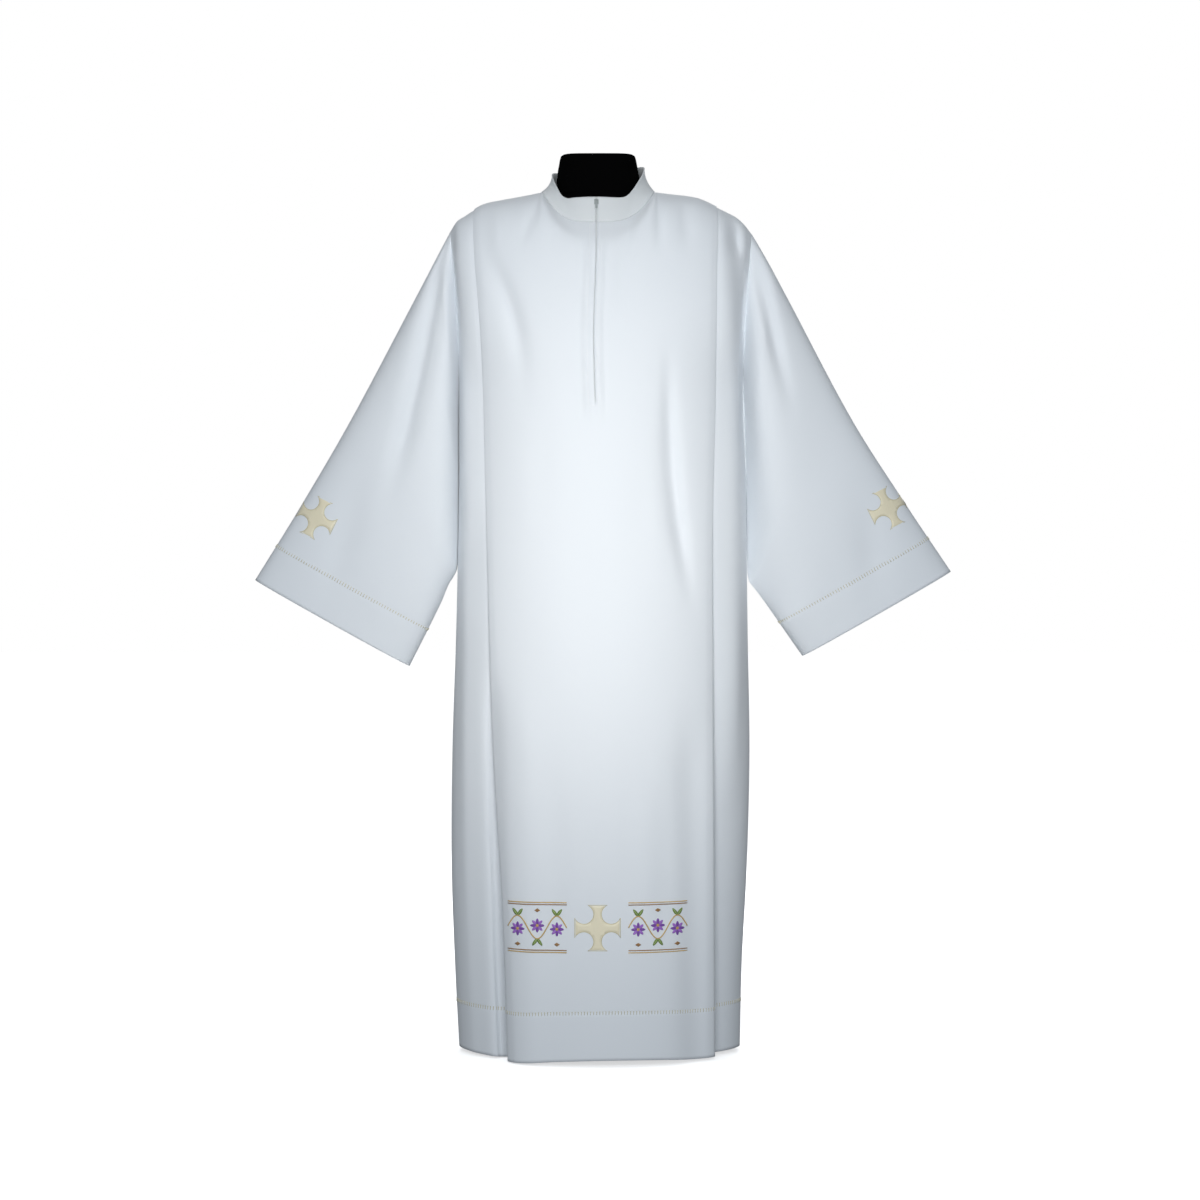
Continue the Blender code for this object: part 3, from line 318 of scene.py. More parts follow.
Rim = namedtuple("Rim", "degrees left_z right_z")
COLLAR_RIM = (
    Rim(0, 1.4254, 1.4254),
    Rim(30, 1.4255, 1.4258),
    Rim(40, 1.4258, 1.4310),
    Rim(52, 1.4335, 1.4460),
    Rim(65, 1.4510, 1.4630),
    Rim(90, 1.4745, 1.4850),
    Rim(115, 1.4825, 1.4925),
    Rim(180, 1.4900, 1.4900),
)

CentreLine = namedtuple("CentreLine", "z x")
CENTRE_LINE = (
    CentreLine(1.430, ZIP_TOP_X),
    CentreLine(1.320, -0.0065),
    CentreLine(1.200, -0.0105),
    CentreLine(1.080, -0.0080),
    CentreLine(0.700, 0.0000),
    CentreLine(0.008, 0.0000),
)

# Key points of each sleeve's edges, shoulder or armpit first, cuff last.
EdgePoint = namedtuple("EdgePoint", "x z")
SLEEVE_TOP = {
    LEFT: (EdgePoint(-0.2528, 1.3752), EdgePoint(-0.3103, 1.2639),
           EdgePoint(-0.4182, 1.0615), EdgePoint(-0.5050, 0.9130), EdgePoint(-0.5801, 0.7917)),
    RIGHT: (EdgePoint(0.2561, 1.3752), EdgePoint(0.3153, 1.2639),
            EdgePoint(0.4233, 1.0615), EdgePoint(0.5130, 0.9210), EdgePoint(0.5902, 0.8060)),
}
SLEEVE_UNDER = {
    LEFT: (EdgePoint(-0.2382, ARMPIT_Z), EdgePoint(-0.2386, 0.9500), EdgePoint(-0.2400, 0.8400),
           EdgePoint(-0.2425, 0.8080), EdgePoint(-0.2560, 0.7840), EdgePoint(-0.2685, 0.7540),
           EdgePoint(-0.3215, 0.6475)),
    RIGHT: (EdgePoint(0.2434, ARMPIT_Z), EdgePoint(0.2458, 0.9500), EdgePoint(0.2484, 0.8300),
            EdgePoint(0.2515, 0.7920), EdgePoint(0.2650, 0.7730), EdgePoint(0.2790, 0.7540),
            EdgePoint(0.3415, 0.6645)),
}

# Rings of a sleeve after the armhole: the fractions down its two edges and
# half its thickness there.
SleeveRing = namedtuple("SleeveRing", "top under reach")
SLEEVE_RINGS = (
    SleeveRing(0.000, 0.000, 0.0600),
    SleeveRing(0.020, 0.045, 0.0645),
    SleeveRing(0.060, 0.130, 0.0700),
    SleeveRing(0.130, 0.260, 0.0750),
    SleeveRing(0.230, 0.410, 0.0765),
    SleeveRing(0.340, 0.530, 0.0745),
    SleeveRing(0.450, 0.620, 0.0700),
    SleeveRing(0.560, 0.700, 0.0640),
    SleeveRing(0.670, 0.780, 0.0580),
    SleeveRing(0.780, 0.855, 0.0520),
    SleeveRing(0.890, 0.930, 0.0465),
    SleeveRing(1.000, 1.000, 0.0430),
)

# How far the hem hangs above or below its level, by its place across.
HemDip = namedtuple("HemDip", "x rise")
HEM_DIPS = (
    HemDip(-0.245, 0.0000),
    HemDip(-0.155, -0.0060),
    HemDip(-0.070, -0.0005),
    HemDip(0.010, 0.0025),
    HemDip(0.100, 0.0015),
    HemDip(0.165, -0.0030),
    HemDip(0.245, 0.0000),
)

# The largest soft folds. Each runs through three points, seen from the front;
# a positive depth is a trough and a negative one is a ridge.
FOLD_END = 0.05                 # how far past its end points a fold fades out
FOLD_FADE = 0.16                # and the length of the fade
BODY_FOLDS = (
    Fold(FRONT, -0.192, 1.334, -0.140, 1.205, -0.131, 1.090, 0.020, 0.0050),
    Fold(FRONT, 0.113, 1.060, 0.120, 0.900, 0.155, 0.770, 0.022, 0.0055),
    Fold(FRONT, -0.124, 0.620, -0.118, 0.300, -0.114, 0.000, 0.026, -0.0040),
    Fold(FRONT, -0.178, 0.640, -0.169, 0.330, -0.160, 0.000, 0.016, 0.0090),
    Fold(FRONT, 0.148, 0.560, 0.152, 0.280, 0.158, 0.000, 0.026, 0.0080),
    Fold(FRONT, -0.212, 0.900, -0.216, 0.480, -0.205, 0.000, 0.016, 0.0070),
    Fold(BACK, -0.100, 1.250, -0.070, 1.120, -0.060, 0.960, 0.026, 0.0050),
    Fold(BACK, 0.120, 1.200, 0.095, 1.050, 0.090, 0.880, 0.026, 0.0055),
    Fold(BACK, -0.060, 0.820, -0.070, 0.420, -0.078, 0.000, 0.030, 0.0090),
    Fold(BACK, 0.085, 0.640, 0.100, 0.320, 0.105, 0.000, 0.030, 0.0085),
    Fold(BACK, 0.012, 0.500, 0.014, 0.250, 0.010, 0.000, 0.026, -0.0070),
)
SLEEVE_FOLDS = (
    Fold(FRONT, -0.254, 1.400, -0.2930, 1.160, -0.3520, 0.9235, 0.018, 0.0140),
    Fold(FRONT, -0.400, 0.960, -0.430, 0.850, -0.465, 0.730, 0.026, 0.0060),
    Fold(FRONT, 0.251, 1.400, 0.2795, 1.235, 0.317, 1.070, 0.013, 0.0110),
    Fold(FRONT, 0.440, 0.930, 0.455, 0.830, 0.470, 0.720, 0.028, 0.0060),
    Fold(BACK, -0.275, 1.280, -0.310, 1.090, -0.370, 0.860, 0.024, 0.0100),
    Fold(BACK, 0.275, 1.280, 0.315, 1.100, 0.385, 0.880, 0.024, 0.0100),
    Fold(BACK, -0.430, 0.930, -0.450, 0.830, -0.480, 0.740, 0.026, 0.0060),
)

# ---------------------------------------------------------------- tables

@lru_cache(maxsize=None)
def read(rows, key, name, at):
    """A table's column at a place between its rows, on one smooth curve."""
    keys = [getattr(row, key) for row in rows]
    values = [getattr(row, name) for row in rows]
    if keys[0] > keys[-1]:
        keys.reverse()
        values.reverse()
    if at <= keys[0]:
        return values[0]
    if at >= keys[-1]:
        return values[-1]
    i = max(k for k in range(len(keys) - 1) if keys[k] <= at)

    def slope(k):
        low, high = max(k - 1, 0), min(k + 1, len(keys) - 1)
        return (values[high] - values[low]) / (keys[high] - keys[low])

    span = keys[i + 1] - keys[i]
    u = (at - keys[i]) / span
    start = (2 * u ** 3 - 3 * u ** 2 + 1) * values[i] + (u ** 3 - 2 * u ** 2 + u) * span * slope(i)
    end = (3 * u ** 2 - 2 * u ** 3) * values[i + 1] + (u ** 3 - u ** 2) * span * slope(i + 1)
    return start + end


def side_word(side, word):
    return WORDS[side] + "_" + word


def side_level(side, word, z):
    """A column of LEVELS that differs from left to right, at a height."""
    return read(LEVELS, "z", side_word(side, word), z)


def clamped(value):
    return min(max(value, 0.0), 1.0)


def quadratic(a, b, c, u):
    return a * (1 - u) ** 2 + b * 2 * u * (1 - u) + c * u ** 2


def fold_depth(folds, face, x, z):
    """How far the soft folds of one face push the cloth inwards at (x, z)."""
    total = 0.0
    for fold in folds:
        if fold.face != face:
            continue
        u = clamped((fold.z0 - z) / (fold.z0 - fold.z2))
        line_x = quadratic(fold.x0, 2 * fold.x1 - (fold.x0 + fold.x2) / 2, fold.x2, u)
        across = math.exp(-((x - line_x) / fold.width) ** 2)
        rise = clamped((fold.z0 + FOLD_END - z) / FOLD_FADE)
        fall = clamped((z - fold.z2 + FOLD_END) / FOLD_FADE) if fold.z2 > 0 else 1.0
        total += fold.depth * across * math.sin(rise * math.pi / 2) ** 2 * fall ** 2
    return total


# ---------------------------------------------------------------- robe body

def armhole_place(z):
    """A height as a place on the armhole: 1 at the shoulder, -1 at the armpit."""
    return (2 * z - SHOULDER_END_Z - ARMPIT_Z) / (SHOULDER_END_Z - ARMPIT_Z)


def armhole_shape(z):
    """The share of its reach that the armhole has at a height: round on top, pointed below."""
    place = armhole_place(z)
    return max(1 - place ** 2, 0.0) ** (1 - place / 2) if abs(place) < 1 else 0.0


def seam_valley(side, z):
    """How deep the cloth sinks where a sleeve joins the body, deepest in the armhole's middle."""
    return VALLEY[side] * max(1 - armhole_place(z) ** 2, 0.0)


def pleat_fraction(side, z):
    """The pleat's folded edge as a fraction of the way across."""
    return side_level(side, "pleat", z) / side_level(side, "side", z)


def zip_lips(x, z):
    """How far the cloth beside the zip stands proud, down to the zip's end."""
    away = x - read(CENTRE_LINE, "z", "x", z)
    share = clamped((z - ZIP_END_Z) / ZIP_LIP_FADE + 1)
    lips = sum(math.exp(-((away - place) / width) ** 2) for place, width in ZIP_LIPS)
    return ZIP_LIP_HEIGHT * share * lips


def level_point(side, face, across, z):
    """A point on the robe's outside at a height from the yoke line down."""
    half = side_level(side, "side", z)
    depth = read(LEVELS, "z", "depth", z)
    share = armhole_shape(z)
    edge = max(ARMHOLE_REACH * share, PANEL_SEAM)
    roundness = ROUNDNESS + (ARMHOLE_ROUNDNESS - ROUNDNESS) * share
    turn = PLAN_TURN + (ARMHOLE_TURN - PLAN_TURN) * share
    across = min(across, 1.0)
    x = side * half * across
    x += read(CENTRE_LINE, "z", "x", z) * (1 - across) ** 2 if face == FRONT else 0.0
    y = edge + (depth - edge) * (1 - across ** roundness) ** turn
    y -= fold_depth(BODY_FOLDS + BODY_CREASES, face, x, z)
    y += zip_lips(x, z) if face == FRONT else 0.0
    y -= seam_valley(side, z) * math.exp(-((1 - across) * half / VALLEY_WIDTH) ** 2)
    y -= GROOVE_BY_PLEAT * math.exp(-((across - pleat_fraction(side, z)) * half / PLEAT_GROOVE_WIDTH) ** 2)
    y -= GROOVE_DEPTH * math.exp(-((z - HEMSTITCH_Z) / GROOVE_WIDTH) ** 2)
    y += BAND_LIFT / (1 + math.exp(min((z - HEMSTITCH_Z) / GROOVE_WIDTH * 2, 50)))
    y = max(y, PANEL_SEAM)
    if face == FRONT:
        z += read(HEM_DIPS, "x", "rise", x) * ((YOKE_Z - z) / (YOKE_Z - HEM_Z)) ** DIP_POWER
    return Vector((x, face * y, z))


def zip_shift(face, angle):
    """How far the zip pulls the front's middle to one side."""
    return (ZIP_TOP_X - NECK_X) * math.cos(angle) ** 4 if face == FRONT else 0.0


def neck_point(side, face, degrees):
    """A point on the neckline: 0 degrees is its middle, 90 the shoulder."""
    angle = math.radians(degrees)
    middle_z = NECK_FRONT_Z if face == FRONT else NECK_BACK_Z
    middle_y = NECK_FRONT if face == FRONT else NECK_BACK
    x = NECK_X + side * NECK_HALF * math.sin(angle) + zip_shift(face, angle)
    y = face * max(middle_y * math.cos(angle), PANEL_SEAM)
    return Vector((x, y, middle_z + (NECK_SIDE_Z - middle_z) * math.sin(angle) ** NECKLINE_POWER))


def seam_start(side, face, across):
    """Where a column leaves the neckline or the shoulder, and in which direction."""
    on_shoulder = Vector((0, face, -SHOULDER_SLOPE)).normalized()
    corner = CORNER_COLUMN * pleat_fraction(side, SHOULDER_END_Z)
    if across > corner:
        corner_x = neck_point(side, face, 90).x
        end_x = side * side_level(side, "side", SHOULDER_END_Z)
        x = corner_x + (end_x - corner_x) * (min(across, 1.0) - corner) / (1 - corner)
        z = read(SHOULDER, "x", side_word(side, "z"), abs(x))
        return Vector((x, face * PANEL_SEAM, z)), on_shoulder
    degrees = 90 * across / corner
    at_middle = Vector((0, face * (CHEST_LEAN if face == FRONT else BACK_LEAN), -1)).normalized()
    direction = at_middle.lerp(on_shoulder, math.sin(math.radians(degrees)) ** 2).normalized()
    return neck_point(side, face, degrees), direction


def surface(side, face, across, down):
    """The robe's outside at a place, as the note at the top of this file describes it."""
    if down >= 1:
        return level_point(side, face, across, level_z(down))
    start, leaving = seam_start(side, face, across)
    end = level_point(side, face, across, YOKE_Z)
    arriving = (level_point(side, face, across, YOKE_Z - STEP) - end).normalized()
    reach = (end - start).length * YOKE_REACH
    a, b, c, d = start, start + leaving * reach, end - arriving * reach, end
    u = down
    point = a * (1 - u) ** 3 + b * 3 * u * (1 - u) ** 2 + c * 3 * u ** 2 * (1 - u) + d * u ** 3
    ease = min(u * CREASE_EASE, 1.0) * min((1 - u) * CREASE_EASE, 1.0)
    point.y -= face * fold_depth(CHEST_CREASES, face, point.x, point.z) * ease
    return point


def down_at(z):
    return 1 + (z - YOKE_Z) / (HEM_Z - YOKE_Z)


def level_z(down):
    """The height that stands for a row in the tables."""
    if down >= 1:
        return YOKE_Z + (HEM_Z - YOKE_Z) * (down - 1)
    return SHOULDER_END_Z + (YOKE_Z - SHOULDER_END_Z) * down


def outward(side, face, across, down):
    """The unit normal of the robe's outside."""
    low, high = max(across - ACROSS_STEP, 0.0), min(across + ACROSS_STEP, 1 - ACROSS_STEP)
    over = surface(side, face, high, down) - surface(side, face, low, down)
    under, over_it = min(down + DOWN_STEP, 2.0), max(down - DOWN_STEP, 0.0)
    below = surface(side, face, across, under) - surface(side, face, across, over_it)
    normal = over.cross(below).normalized()
    return normal if normal.y * face > 0 or normal.z > 0.5 else -normal


def pleat_place(side, down):
    """The pleat's fraction across, its fold's fraction across and its layers' step."""
    z = level_z(down)
    return pleat_fraction(side, z), PLEAT_FOLD / side_level(side, "side", z), read(LEVELS, "z", "step", z)


def round_turn(outer, inner, reach_direction, turn_angles):
    """Points of a half circle from one layer's edge to the next layer's edge."""
    centre = (outer + inner) / 2
    arm = (outer - inner) / 2
    radius = arm.length
    points = []
    for degrees in turn_angles:
        angle = math.radians(degrees)
        points.append(centre + arm * math.cos(angle) + reach_direction * radius * math.sin(angle))
    return points


# ---------------------------------------------------------------- fine sampling

def spaced(start, end, count):
    return [start + (end - start) * i / count for i in range(count + 1)]


def body_downs():
    """Rows from the shoulder seam to the hem, closer together where the cloth turns."""
    downs = spaced(0.0, 1.0, YOKE_ROWS)[:-1]
    levels = spaced(YOKE_Z, HEMSTITCH_Z + GROOVE_MARGIN, BODY_ROWS)
    levels += [HEMSTITCH_Z + offset for offset in HEM_GROOVE_ROWS]
    levels += spaced(HEMSTITCH_Z - GROOVE_MARGIN, HEM_Z, HEM_ROWS)
    return downs + [down_at(z) for z in levels]


def half_row(side, face, down):
    """One row of points from the centre line out to the side, through the pleat."""
    pleat, fold, step = pleat_place(side, down)
    inner = pleat - fold
    row = [surface(side, face, pleat * part, down) for part in spaced(0.0, 1.0, PANEL_COLUMNS)]

    def layer(across, depth):
        point = surface(side, face, across, down) - outward(side, face, across, down) * depth
        point.y = face * max(face * point.y, PANEL_SEAM)
        return point

    over = surface(side, face, pleat, down) - surface(side, face, pleat - 2 * ACROSS_STEP, down)
    over.normalize()
    row += round_turn(row[-1], layer(pleat, step), over, spaced(0, 180, TURN_POINTS)[1:-1])
    row += [layer(pleat - fold * part, step) for part in spaced(0.0, 1.0, FOLD_COLUMNS)]
    inner_turn = spaced(0, 180, INNER_TURN_POINTS)[1:-1]
    row += round_turn(layer(inner, step), layer(inner, 2 * step), -over, inner_turn)
    row.append(layer(inner, 2 * step))
    start_angle = math.asin(pleat ** (ROUNDNESS / 2))
    for part in spaced(0.0, 1.0, SIDE_COLUMNS):
        angle = start_angle + (math.pi / 2 - start_angle) * part
        across = math.sin(angle) ** (2 / ROUNDNESS)
        if part == 1.0:
            row.append(surface(side, face, 1.0, down))
        else:
            row.append(layer(across, 2 * step * (1 - part) ** SIDE_RISE - side_ridge(side, part, down)))
    return row


def side_ridge(side, part, down):
    """How full the side panel hangs; on the right that fullness dies out below the knee."""
    fullness = min(down, 1.0)
    if side == RIGHT:
        top, bottom = RIDGE_DIES_Z
        fullness *= clamped((level_z(down) - bottom) / (top - bottom))
    return SIDE_RIDGE * math.exp(-((part - RIDGE_PLACE) / RIDGE_WIDTH) ** 2) * fullness


def body_rows(face):
    rows = []
    for down in body_downs():
        left, right = half_row(LEFT, face, down), half_row(RIGHT, face, down)
        if face == FRONT and level_z(down) > ZIP_END_Z:
            left[0].x -= SLIT_HALF
            right[0].x += SLIT_HALF
        rows.append(list(reversed(left)) + right)
    return rows


Place = namedtuple("Place", "along x z")


def edge_point(points, fraction):
    """A point at a fraction of the way along a sleeve's edge."""
    places = edge_places(points)
    at = fraction * places[-1].along
    return Vector((read(places, "along", "x", at), 0, read(places, "along", "z", at)))


@lru_cache(maxsize=None)
def edge_places(points):
    along, places = 0.0, []
    for i, point in enumerate(points):
        if i:
            along += math.dist(point, points[i - 1])
        places.append(Place(along, point.x, point.z))
    return tuple(places)


def armhole_point(side, face, angle):
    """A point of the armhole: angle 0 is its top and pi the armpit."""
    drop = (1 - math.cos(angle)) / 2
    z = SHOULDER_END_Z + (ARMPIT_Z - SHOULDER_END_Z) * drop
    if z > YOKE_Z:
        return surface(side, face, 1.0, (SHOULDER_END_Z - z) / (SHOULDER_END_Z - YOKE_Z))
    return surface(side, face, 1.0, down_at(z))


def cuff_distance(side, along, angle):
    """How far it still is to the cuff's edge, along the sleeve."""
    share = (1 - math.cos(angle)) / 2
    above = (1 - along) * edge_places(SLEEVE_TOP[side])[-1].along
    below = (1 - read(SLEEVE_RINGS, "top", "under", along)) * edge_places(SLEEVE_UNDER[side])[-1].along
    return above * (1 - share) + below * share


def sleeve_point(side, face, along, angle):
    """A point on a sleeve: along runs from the armhole to the cuff."""
    under_share = read(SLEEVE_RINGS, "top", "under", along)
    reach = read(SLEEVE_RINGS, "top", "reach", along)
    top = edge_point(SLEEVE_TOP[side], along)
    under = edge_point(SLEEVE_UNDER[side], under_share)
    point = top.lerp(under, (1 - math.cos(angle)) / 2)
    ease = min(math.sin(angle) * 2.0, 1.0)
    inward = fold_depth(SLEEVE_FOLDS + SLEEVE_CREASES, face, point.x, point.z) * ease
    past = (CUFF_BAND - cuff_distance(side, along, angle)) / GROOVE_WIDTH
    inward += GROOVE_DEPTH * math.exp(-past ** 2)
    inward -= BAND_LIFT / (1 + math.exp(min(-past * 2, 50)))
    pointed = max(1 - along / ROUND_FROM, 0.0)
    soft = SOFT[side] * ((1 - pointed) * clamped((SOFT_END - along) / SOFT_END * 2))
    power = SLEEVE_POWER + (1 - math.cos(angle)) * (pointed + soft)
    point.y = face * (reach * max(math.sin(angle), 0.0) ** power - inward)
    settle = min(along / SETTLE[side], 1.0)
    settle = settle * settle * (3 - 2 * settle)
    if settle < 1.0:
        point = armhole_point(side, face, angle).lerp(point, settle)
    return point


def sleeve_rings(side):
    rings = []
    settled = SETTLE[side]
    leaving = [settled * k / ARMHOLE_RINGS for k in range(ARMHOLE_RINGS)]
    for along in leaving + spaced(settled, 1.0, SLEEVE_ROWS):
        ring = []
        for i in range(2 * SLEEVE_COLUMNS):
            angle = math.pi * i / SLEEVE_COLUMNS
            face, folded = (FRONT, angle) if i <= SLEEVE_COLUMNS else (BACK, 2 * math.pi - angle)
            point = sleeve_point(side, face, along, folded)
            if i in (0, SLEEVE_COLUMNS):
                point.y = 0.0
            ring.append(point)
        rings.append(ring)
    return rings


# ---------------------------------------------------------------- mesh helpers

def new_object(name, mesh, material):
    item = bpy.data.objects.new(name, mesh)
    bpy.context.scene.collection.objects.link(item)
    mesh.materials.append(material)
    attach(item, ROBE_BODY)
    return item


def finish_mesh(name, bm):
    bmesh.ops.recalc_face_normals(bm, faces=bm.faces)
    mesh = bpy.data.meshes.new(name)
    bm.to_mesh(mesh)
    bm.free()
    mesh.shade_smooth()
    return mesh


def grid_mesh(name, rows, closed=False, open_column=None, joined_from=0):
    """A mesh of quads through rows of points, shaded smooth.

    closed joins each row's end to its start. open_column leaves out the quads
    between that column and the next, whose points are one from row
    joined_from down.
    """
    bm = bmesh.new()
    verts = []
    for i, row in enumerate(rows):
        line = [bm.verts.new(point) for point in row]
        if open_column is not None and i >= joined_from:
            bm.verts.remove(line[open_column + 1])
            line[open_column + 1] = line[open_column]
        verts.append(line)
    columns = len(rows[0])
    for i in range(len(rows) - 1):
        for j in range(columns if closed else columns - 1):
            if j == open_column:
                continue
            k = (j + 1) % columns
            bm.faces.new((verts[i][j], verts[i + 1][j], verts[i + 1][k], verts[i][k]))
    return finish_mesh(name, bm)


def face_outwards(mesh, index, direction):
    if mesh.polygons[index].normal.dot(Vector(direction)) < 0:
        mesh.flip_normals()


def hang_cloth(name, mesh, material, thickness, node):
    """A shell with its thickness half to each side, shown in place of a solid."""
    item = new_object(name, mesh, material)
    wall = item.modifiers.new("Wall", "SOLIDIFY")
    wall.thickness = thickness
    wall.offset = 0.0
    wall.use_even_offset = False
    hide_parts(node)
    return item


def tree_of(mesh):
    points = [vertex.co.copy() for vertex in mesh.vertices]
    return BVHTree.FromPolygons(points, [tuple(p.vertices) for p in mesh.polygons])


def onto(tree, x, z, face=FRONT):
    """The cloth's point and outward normal seen at (x, z) from the front or the back."""
    spot, normal, _, _ = tree.ray_cast(Vector((x, face * RAY_FROM, z)), Vector((0, -face, 0)))
    if spot is None:
        spot, normal, _, _ = tree.find_nearest(Vector((x, face * NEAR_CLOTH, z)))
    if normal.y * face < 0:
        normal = -normal
    return spot, normal


def on_cloth(tree, flat_points, lift=0.0):
    """The cloth's points and outward normals at flat points, with the points lifted off it."""
    points, outs = [], []
    for x, z in flat_points:
        spot, out = onto(tree, x, z)
        points.append(spot + out * lift)
        outs.append(out)
    return points, outs


def ahead_at(points, i):
    """Where a line of points is going at one of them, not yet of unit length."""
    return points[min(i + 1, len(points) - 1)] - points[max(i - 1, 0)]


def tube_faces(bm, points, radii, sides, normals):
    """Adds a closed tube through points to a bmesh, with a radius and a normal for each point."""
    rings = []
    for point, radius, normal, i in zip(points, radii, normals, range(len(points))):
        ahead = ahead_at(points, i).normalized()
        side = ahead.cross(normal).normalized()
        up = side.cross(ahead).normalized()
        ring = []
        for k in range(sides):
            angle = 2 * math.pi * k / sides
            ring.append(bm.verts.new(point + (side * math.cos(angle) + up * math.sin(angle)) * radius))
        rings.append(ring)
    for near, far in zip(rings, rings[1:]):
        for k in range(sides):
            m = (k + 1) % sides
            bm.faces.new((near[k], near[m], far[m], far[k]))
    bm.faces.new(list(reversed(rings[0])))
    bm.faces.new(rings[-1])


def lay_cord(bm, tree, flat_points, radius, lift, sides=5):
    """A cord through flat points, its middle lifted off the cloth."""
    points, outs = on_cloth(tree, flat_points, WALL / 2 + lift)
    tube_faces(bm, points, [radius] * len(points), sides, outs)


# ---------------------------------------------------------------- materials

def base_material(name, colour, roughness, metallic=0.0, sheen=0.0):
    material = bpy.data.materials.new(name)
    material.use_nodes = True
    shader = material.node_tree.nodes["Principled BSDF"]
    shader.inputs["Base Color"].default_value = (*colour, 1.0)
    shader.inputs["Roughness"].default_value = roughness
    shader.inputs["Metallic"].default_value = metallic
    shader.inputs["Sheen Weight"].default_value = sheen
    return material, shader


def add_bump(material, shader, scale, strength, distance, detail=2.0, stretch=(1, 1, 1)):
    """Noise in the object's own space, felt as small relief."""
    nodes, links = material.node_tree.nodes, material.node_tree.links
    place = nodes.new("ShaderNodeTexCoord")
    mapping = nodes.new("ShaderNodeMapping")
    mapping.inputs["Scale"].default_value = stretch
    noise = nodes.new("ShaderNodeTexNoise")
    noise.inputs["Scale"].default_value = scale
    noise.inputs["Detail"].default_value = detail
    bump = nodes.new("ShaderNodeBump")
    bump.inputs["Strength"].default_value = strength
    bump.inputs["Distance"].default_value = distance
    links.new(place.outputs["Object"], mapping.inputs["Vector"])
    links.new(mapping.outputs["Vector"], noise.inputs["Vector"])
    links.new(noise.outputs["Fac"], bump.inputs["Height"])
    for link in shader.inputs["Normal"].links:
        links.new(link.from_socket, bump.inputs["Normal"])
    links.new(bump.outputs["Normal"], shader.inputs["Normal"])


def woven_material(name, colour, roughness, sheen, specular):
    """Dull cloth with a soft sheen, before its relief is added."""
    material, shader = base_material(name, colour, roughness, sheen=sheen)
    shader.inputs["Sheen Roughness"].default_value = 0.5
    shader.inputs["Specular IOR Level"].default_value = specular
    return material, shader


def cloth_material():
    material, shader = woven_material("white_cloth", (0.80, 0.835, 0.87), 0.72, 0.25, 0.25)
    add_bump(material, shader, scale=7.0, strength=0.35, distance=0.0030, stretch=(1.0, 1.0, 0.45))
    add_bump(material, shader, scale=520.0, strength=0.10, distance=0.0004)
    return material


def collar_material():
    """The collar's cloth, darker and a little greyer than the rest."""
    material, shader = woven_material("collar_cloth", (0.70, 0.725, 0.735), 0.75, 0.2, 0.2)
    add_bump(material, shader, scale=14.0, strength=0.35, distance=0.0020)
    add_bump(material, shader, scale=520.0, strength=0.10, distance=0.0004)
    return material


def thread_material(name, colour, roughness=0.55):
    material, shader = base_material(name, colour, roughness, sheen=0.3)
    add_bump(material, shader, scale=900.0, strength=0.5, distance=0.0004, detail=1.0,
             stretch=(1.0, 1.0, 0.3))
    return material


def jersey_material():
    material, shader = base_material("black_jersey", (0.0012, 0.0012, 0.0013), 0.95)
    shader.inputs["Specular IOR Level"].default_value = 0.02
    add_bump(material, shader, scale=700.0, strength=0.2, distance=0.0004, detail=1.0)
    return material


def enamel_material():
    return base_material("pale_zip_enamel", (0.74, 0.76, 0.76), 0.35)[0]


def grey_metal_material():
    return base_material("grey_zip_metal", (0.34, 0.37, 0.37), 0.4, metallic=0.3)[0]


def tape_material():
    return base_material("zip_tape_cloth", (0.50, 0.53, 0.53), 0.8)[0]


def steel_material():
    return base_material("black_steel", (0.03, 0.03, 0.03), 0.45, metallic=0.6)[0]


# ---------------------------------------------------------------- robe pieces

def make_panel(name, node, face, material):
    rows = body_rows(face)
    middle = len(rows[0]) // 2 - 1
    downs = body_downs()
    joined = 0
    if face == FRONT:
        joined = next(i for i, down in enumerate(downs) if level_z(down) <= ZIP_END_Z)
    mesh = grid_mesh(name, rows, open_column=middle, joined_from=joined)
    face_outwards(mesh, len(mesh.polygons) - 1, (0, face, 0))
    return hang_cloth(name, mesh, material, WALL, node), rows


def make_sleeve(name, node, side, material):
    return hang_cloth(name, grid_mesh(name, sleeve_rings(side), closed=True), material, WALL, node)


def collar_points(side, degrees):
    """The collar's foot, middle and rim at an angle from the front."""
    face = FRONT if degrees <= 90 else BACK
    angle = math.radians(degrees)
    foot = neck_point(side, face, degrees if face == FRONT else 180 - degrees)
    foot.z += COLLAR_SEAM
    depth = COLLAR_FRONT if face == FRONT else COLLAR_BACK
    rim_x = NECK_X + side * COLLAR_HALF * math.sin(angle) + zip_shift(face, angle)
    rim_z = read(COLLAR_RIM, "degrees", side_word(side, "z"), degrees)
    rim = Vector((rim_x, -depth * math.cos(angle), rim_z))
    middle = foot.lerp(rim, 0.5)
    middle.x -= side * COLLAR_HOLLOW * math.sin(angle)
    return foot, middle, rim


def collar_column(side, degrees):
    """The collar from its foot to its rim, through its middle."""
    foot, middle, rim = collar_points(side, degrees)
    control = middle * 2 - (foot + rim) / 2
    column = []
    for up in spaced(0.0, 1.0, COLLAR_ROWS):
        point = foot * (1 - up) ** 2 + control * 2 * up * (1 - up) + rim * up ** 2
        out = Vector((point.x - NECK_X, point.y, 0)).normalized()
        dent = fold_depth(COLLAR_CREASES, FRONT if point.y < 0 else BACK, point.x, point.z)
        column.append(point - out * dent * math.sin(math.pi * min(up + COLLAR_CREASE_SHIFT, 1.0)))
    return column


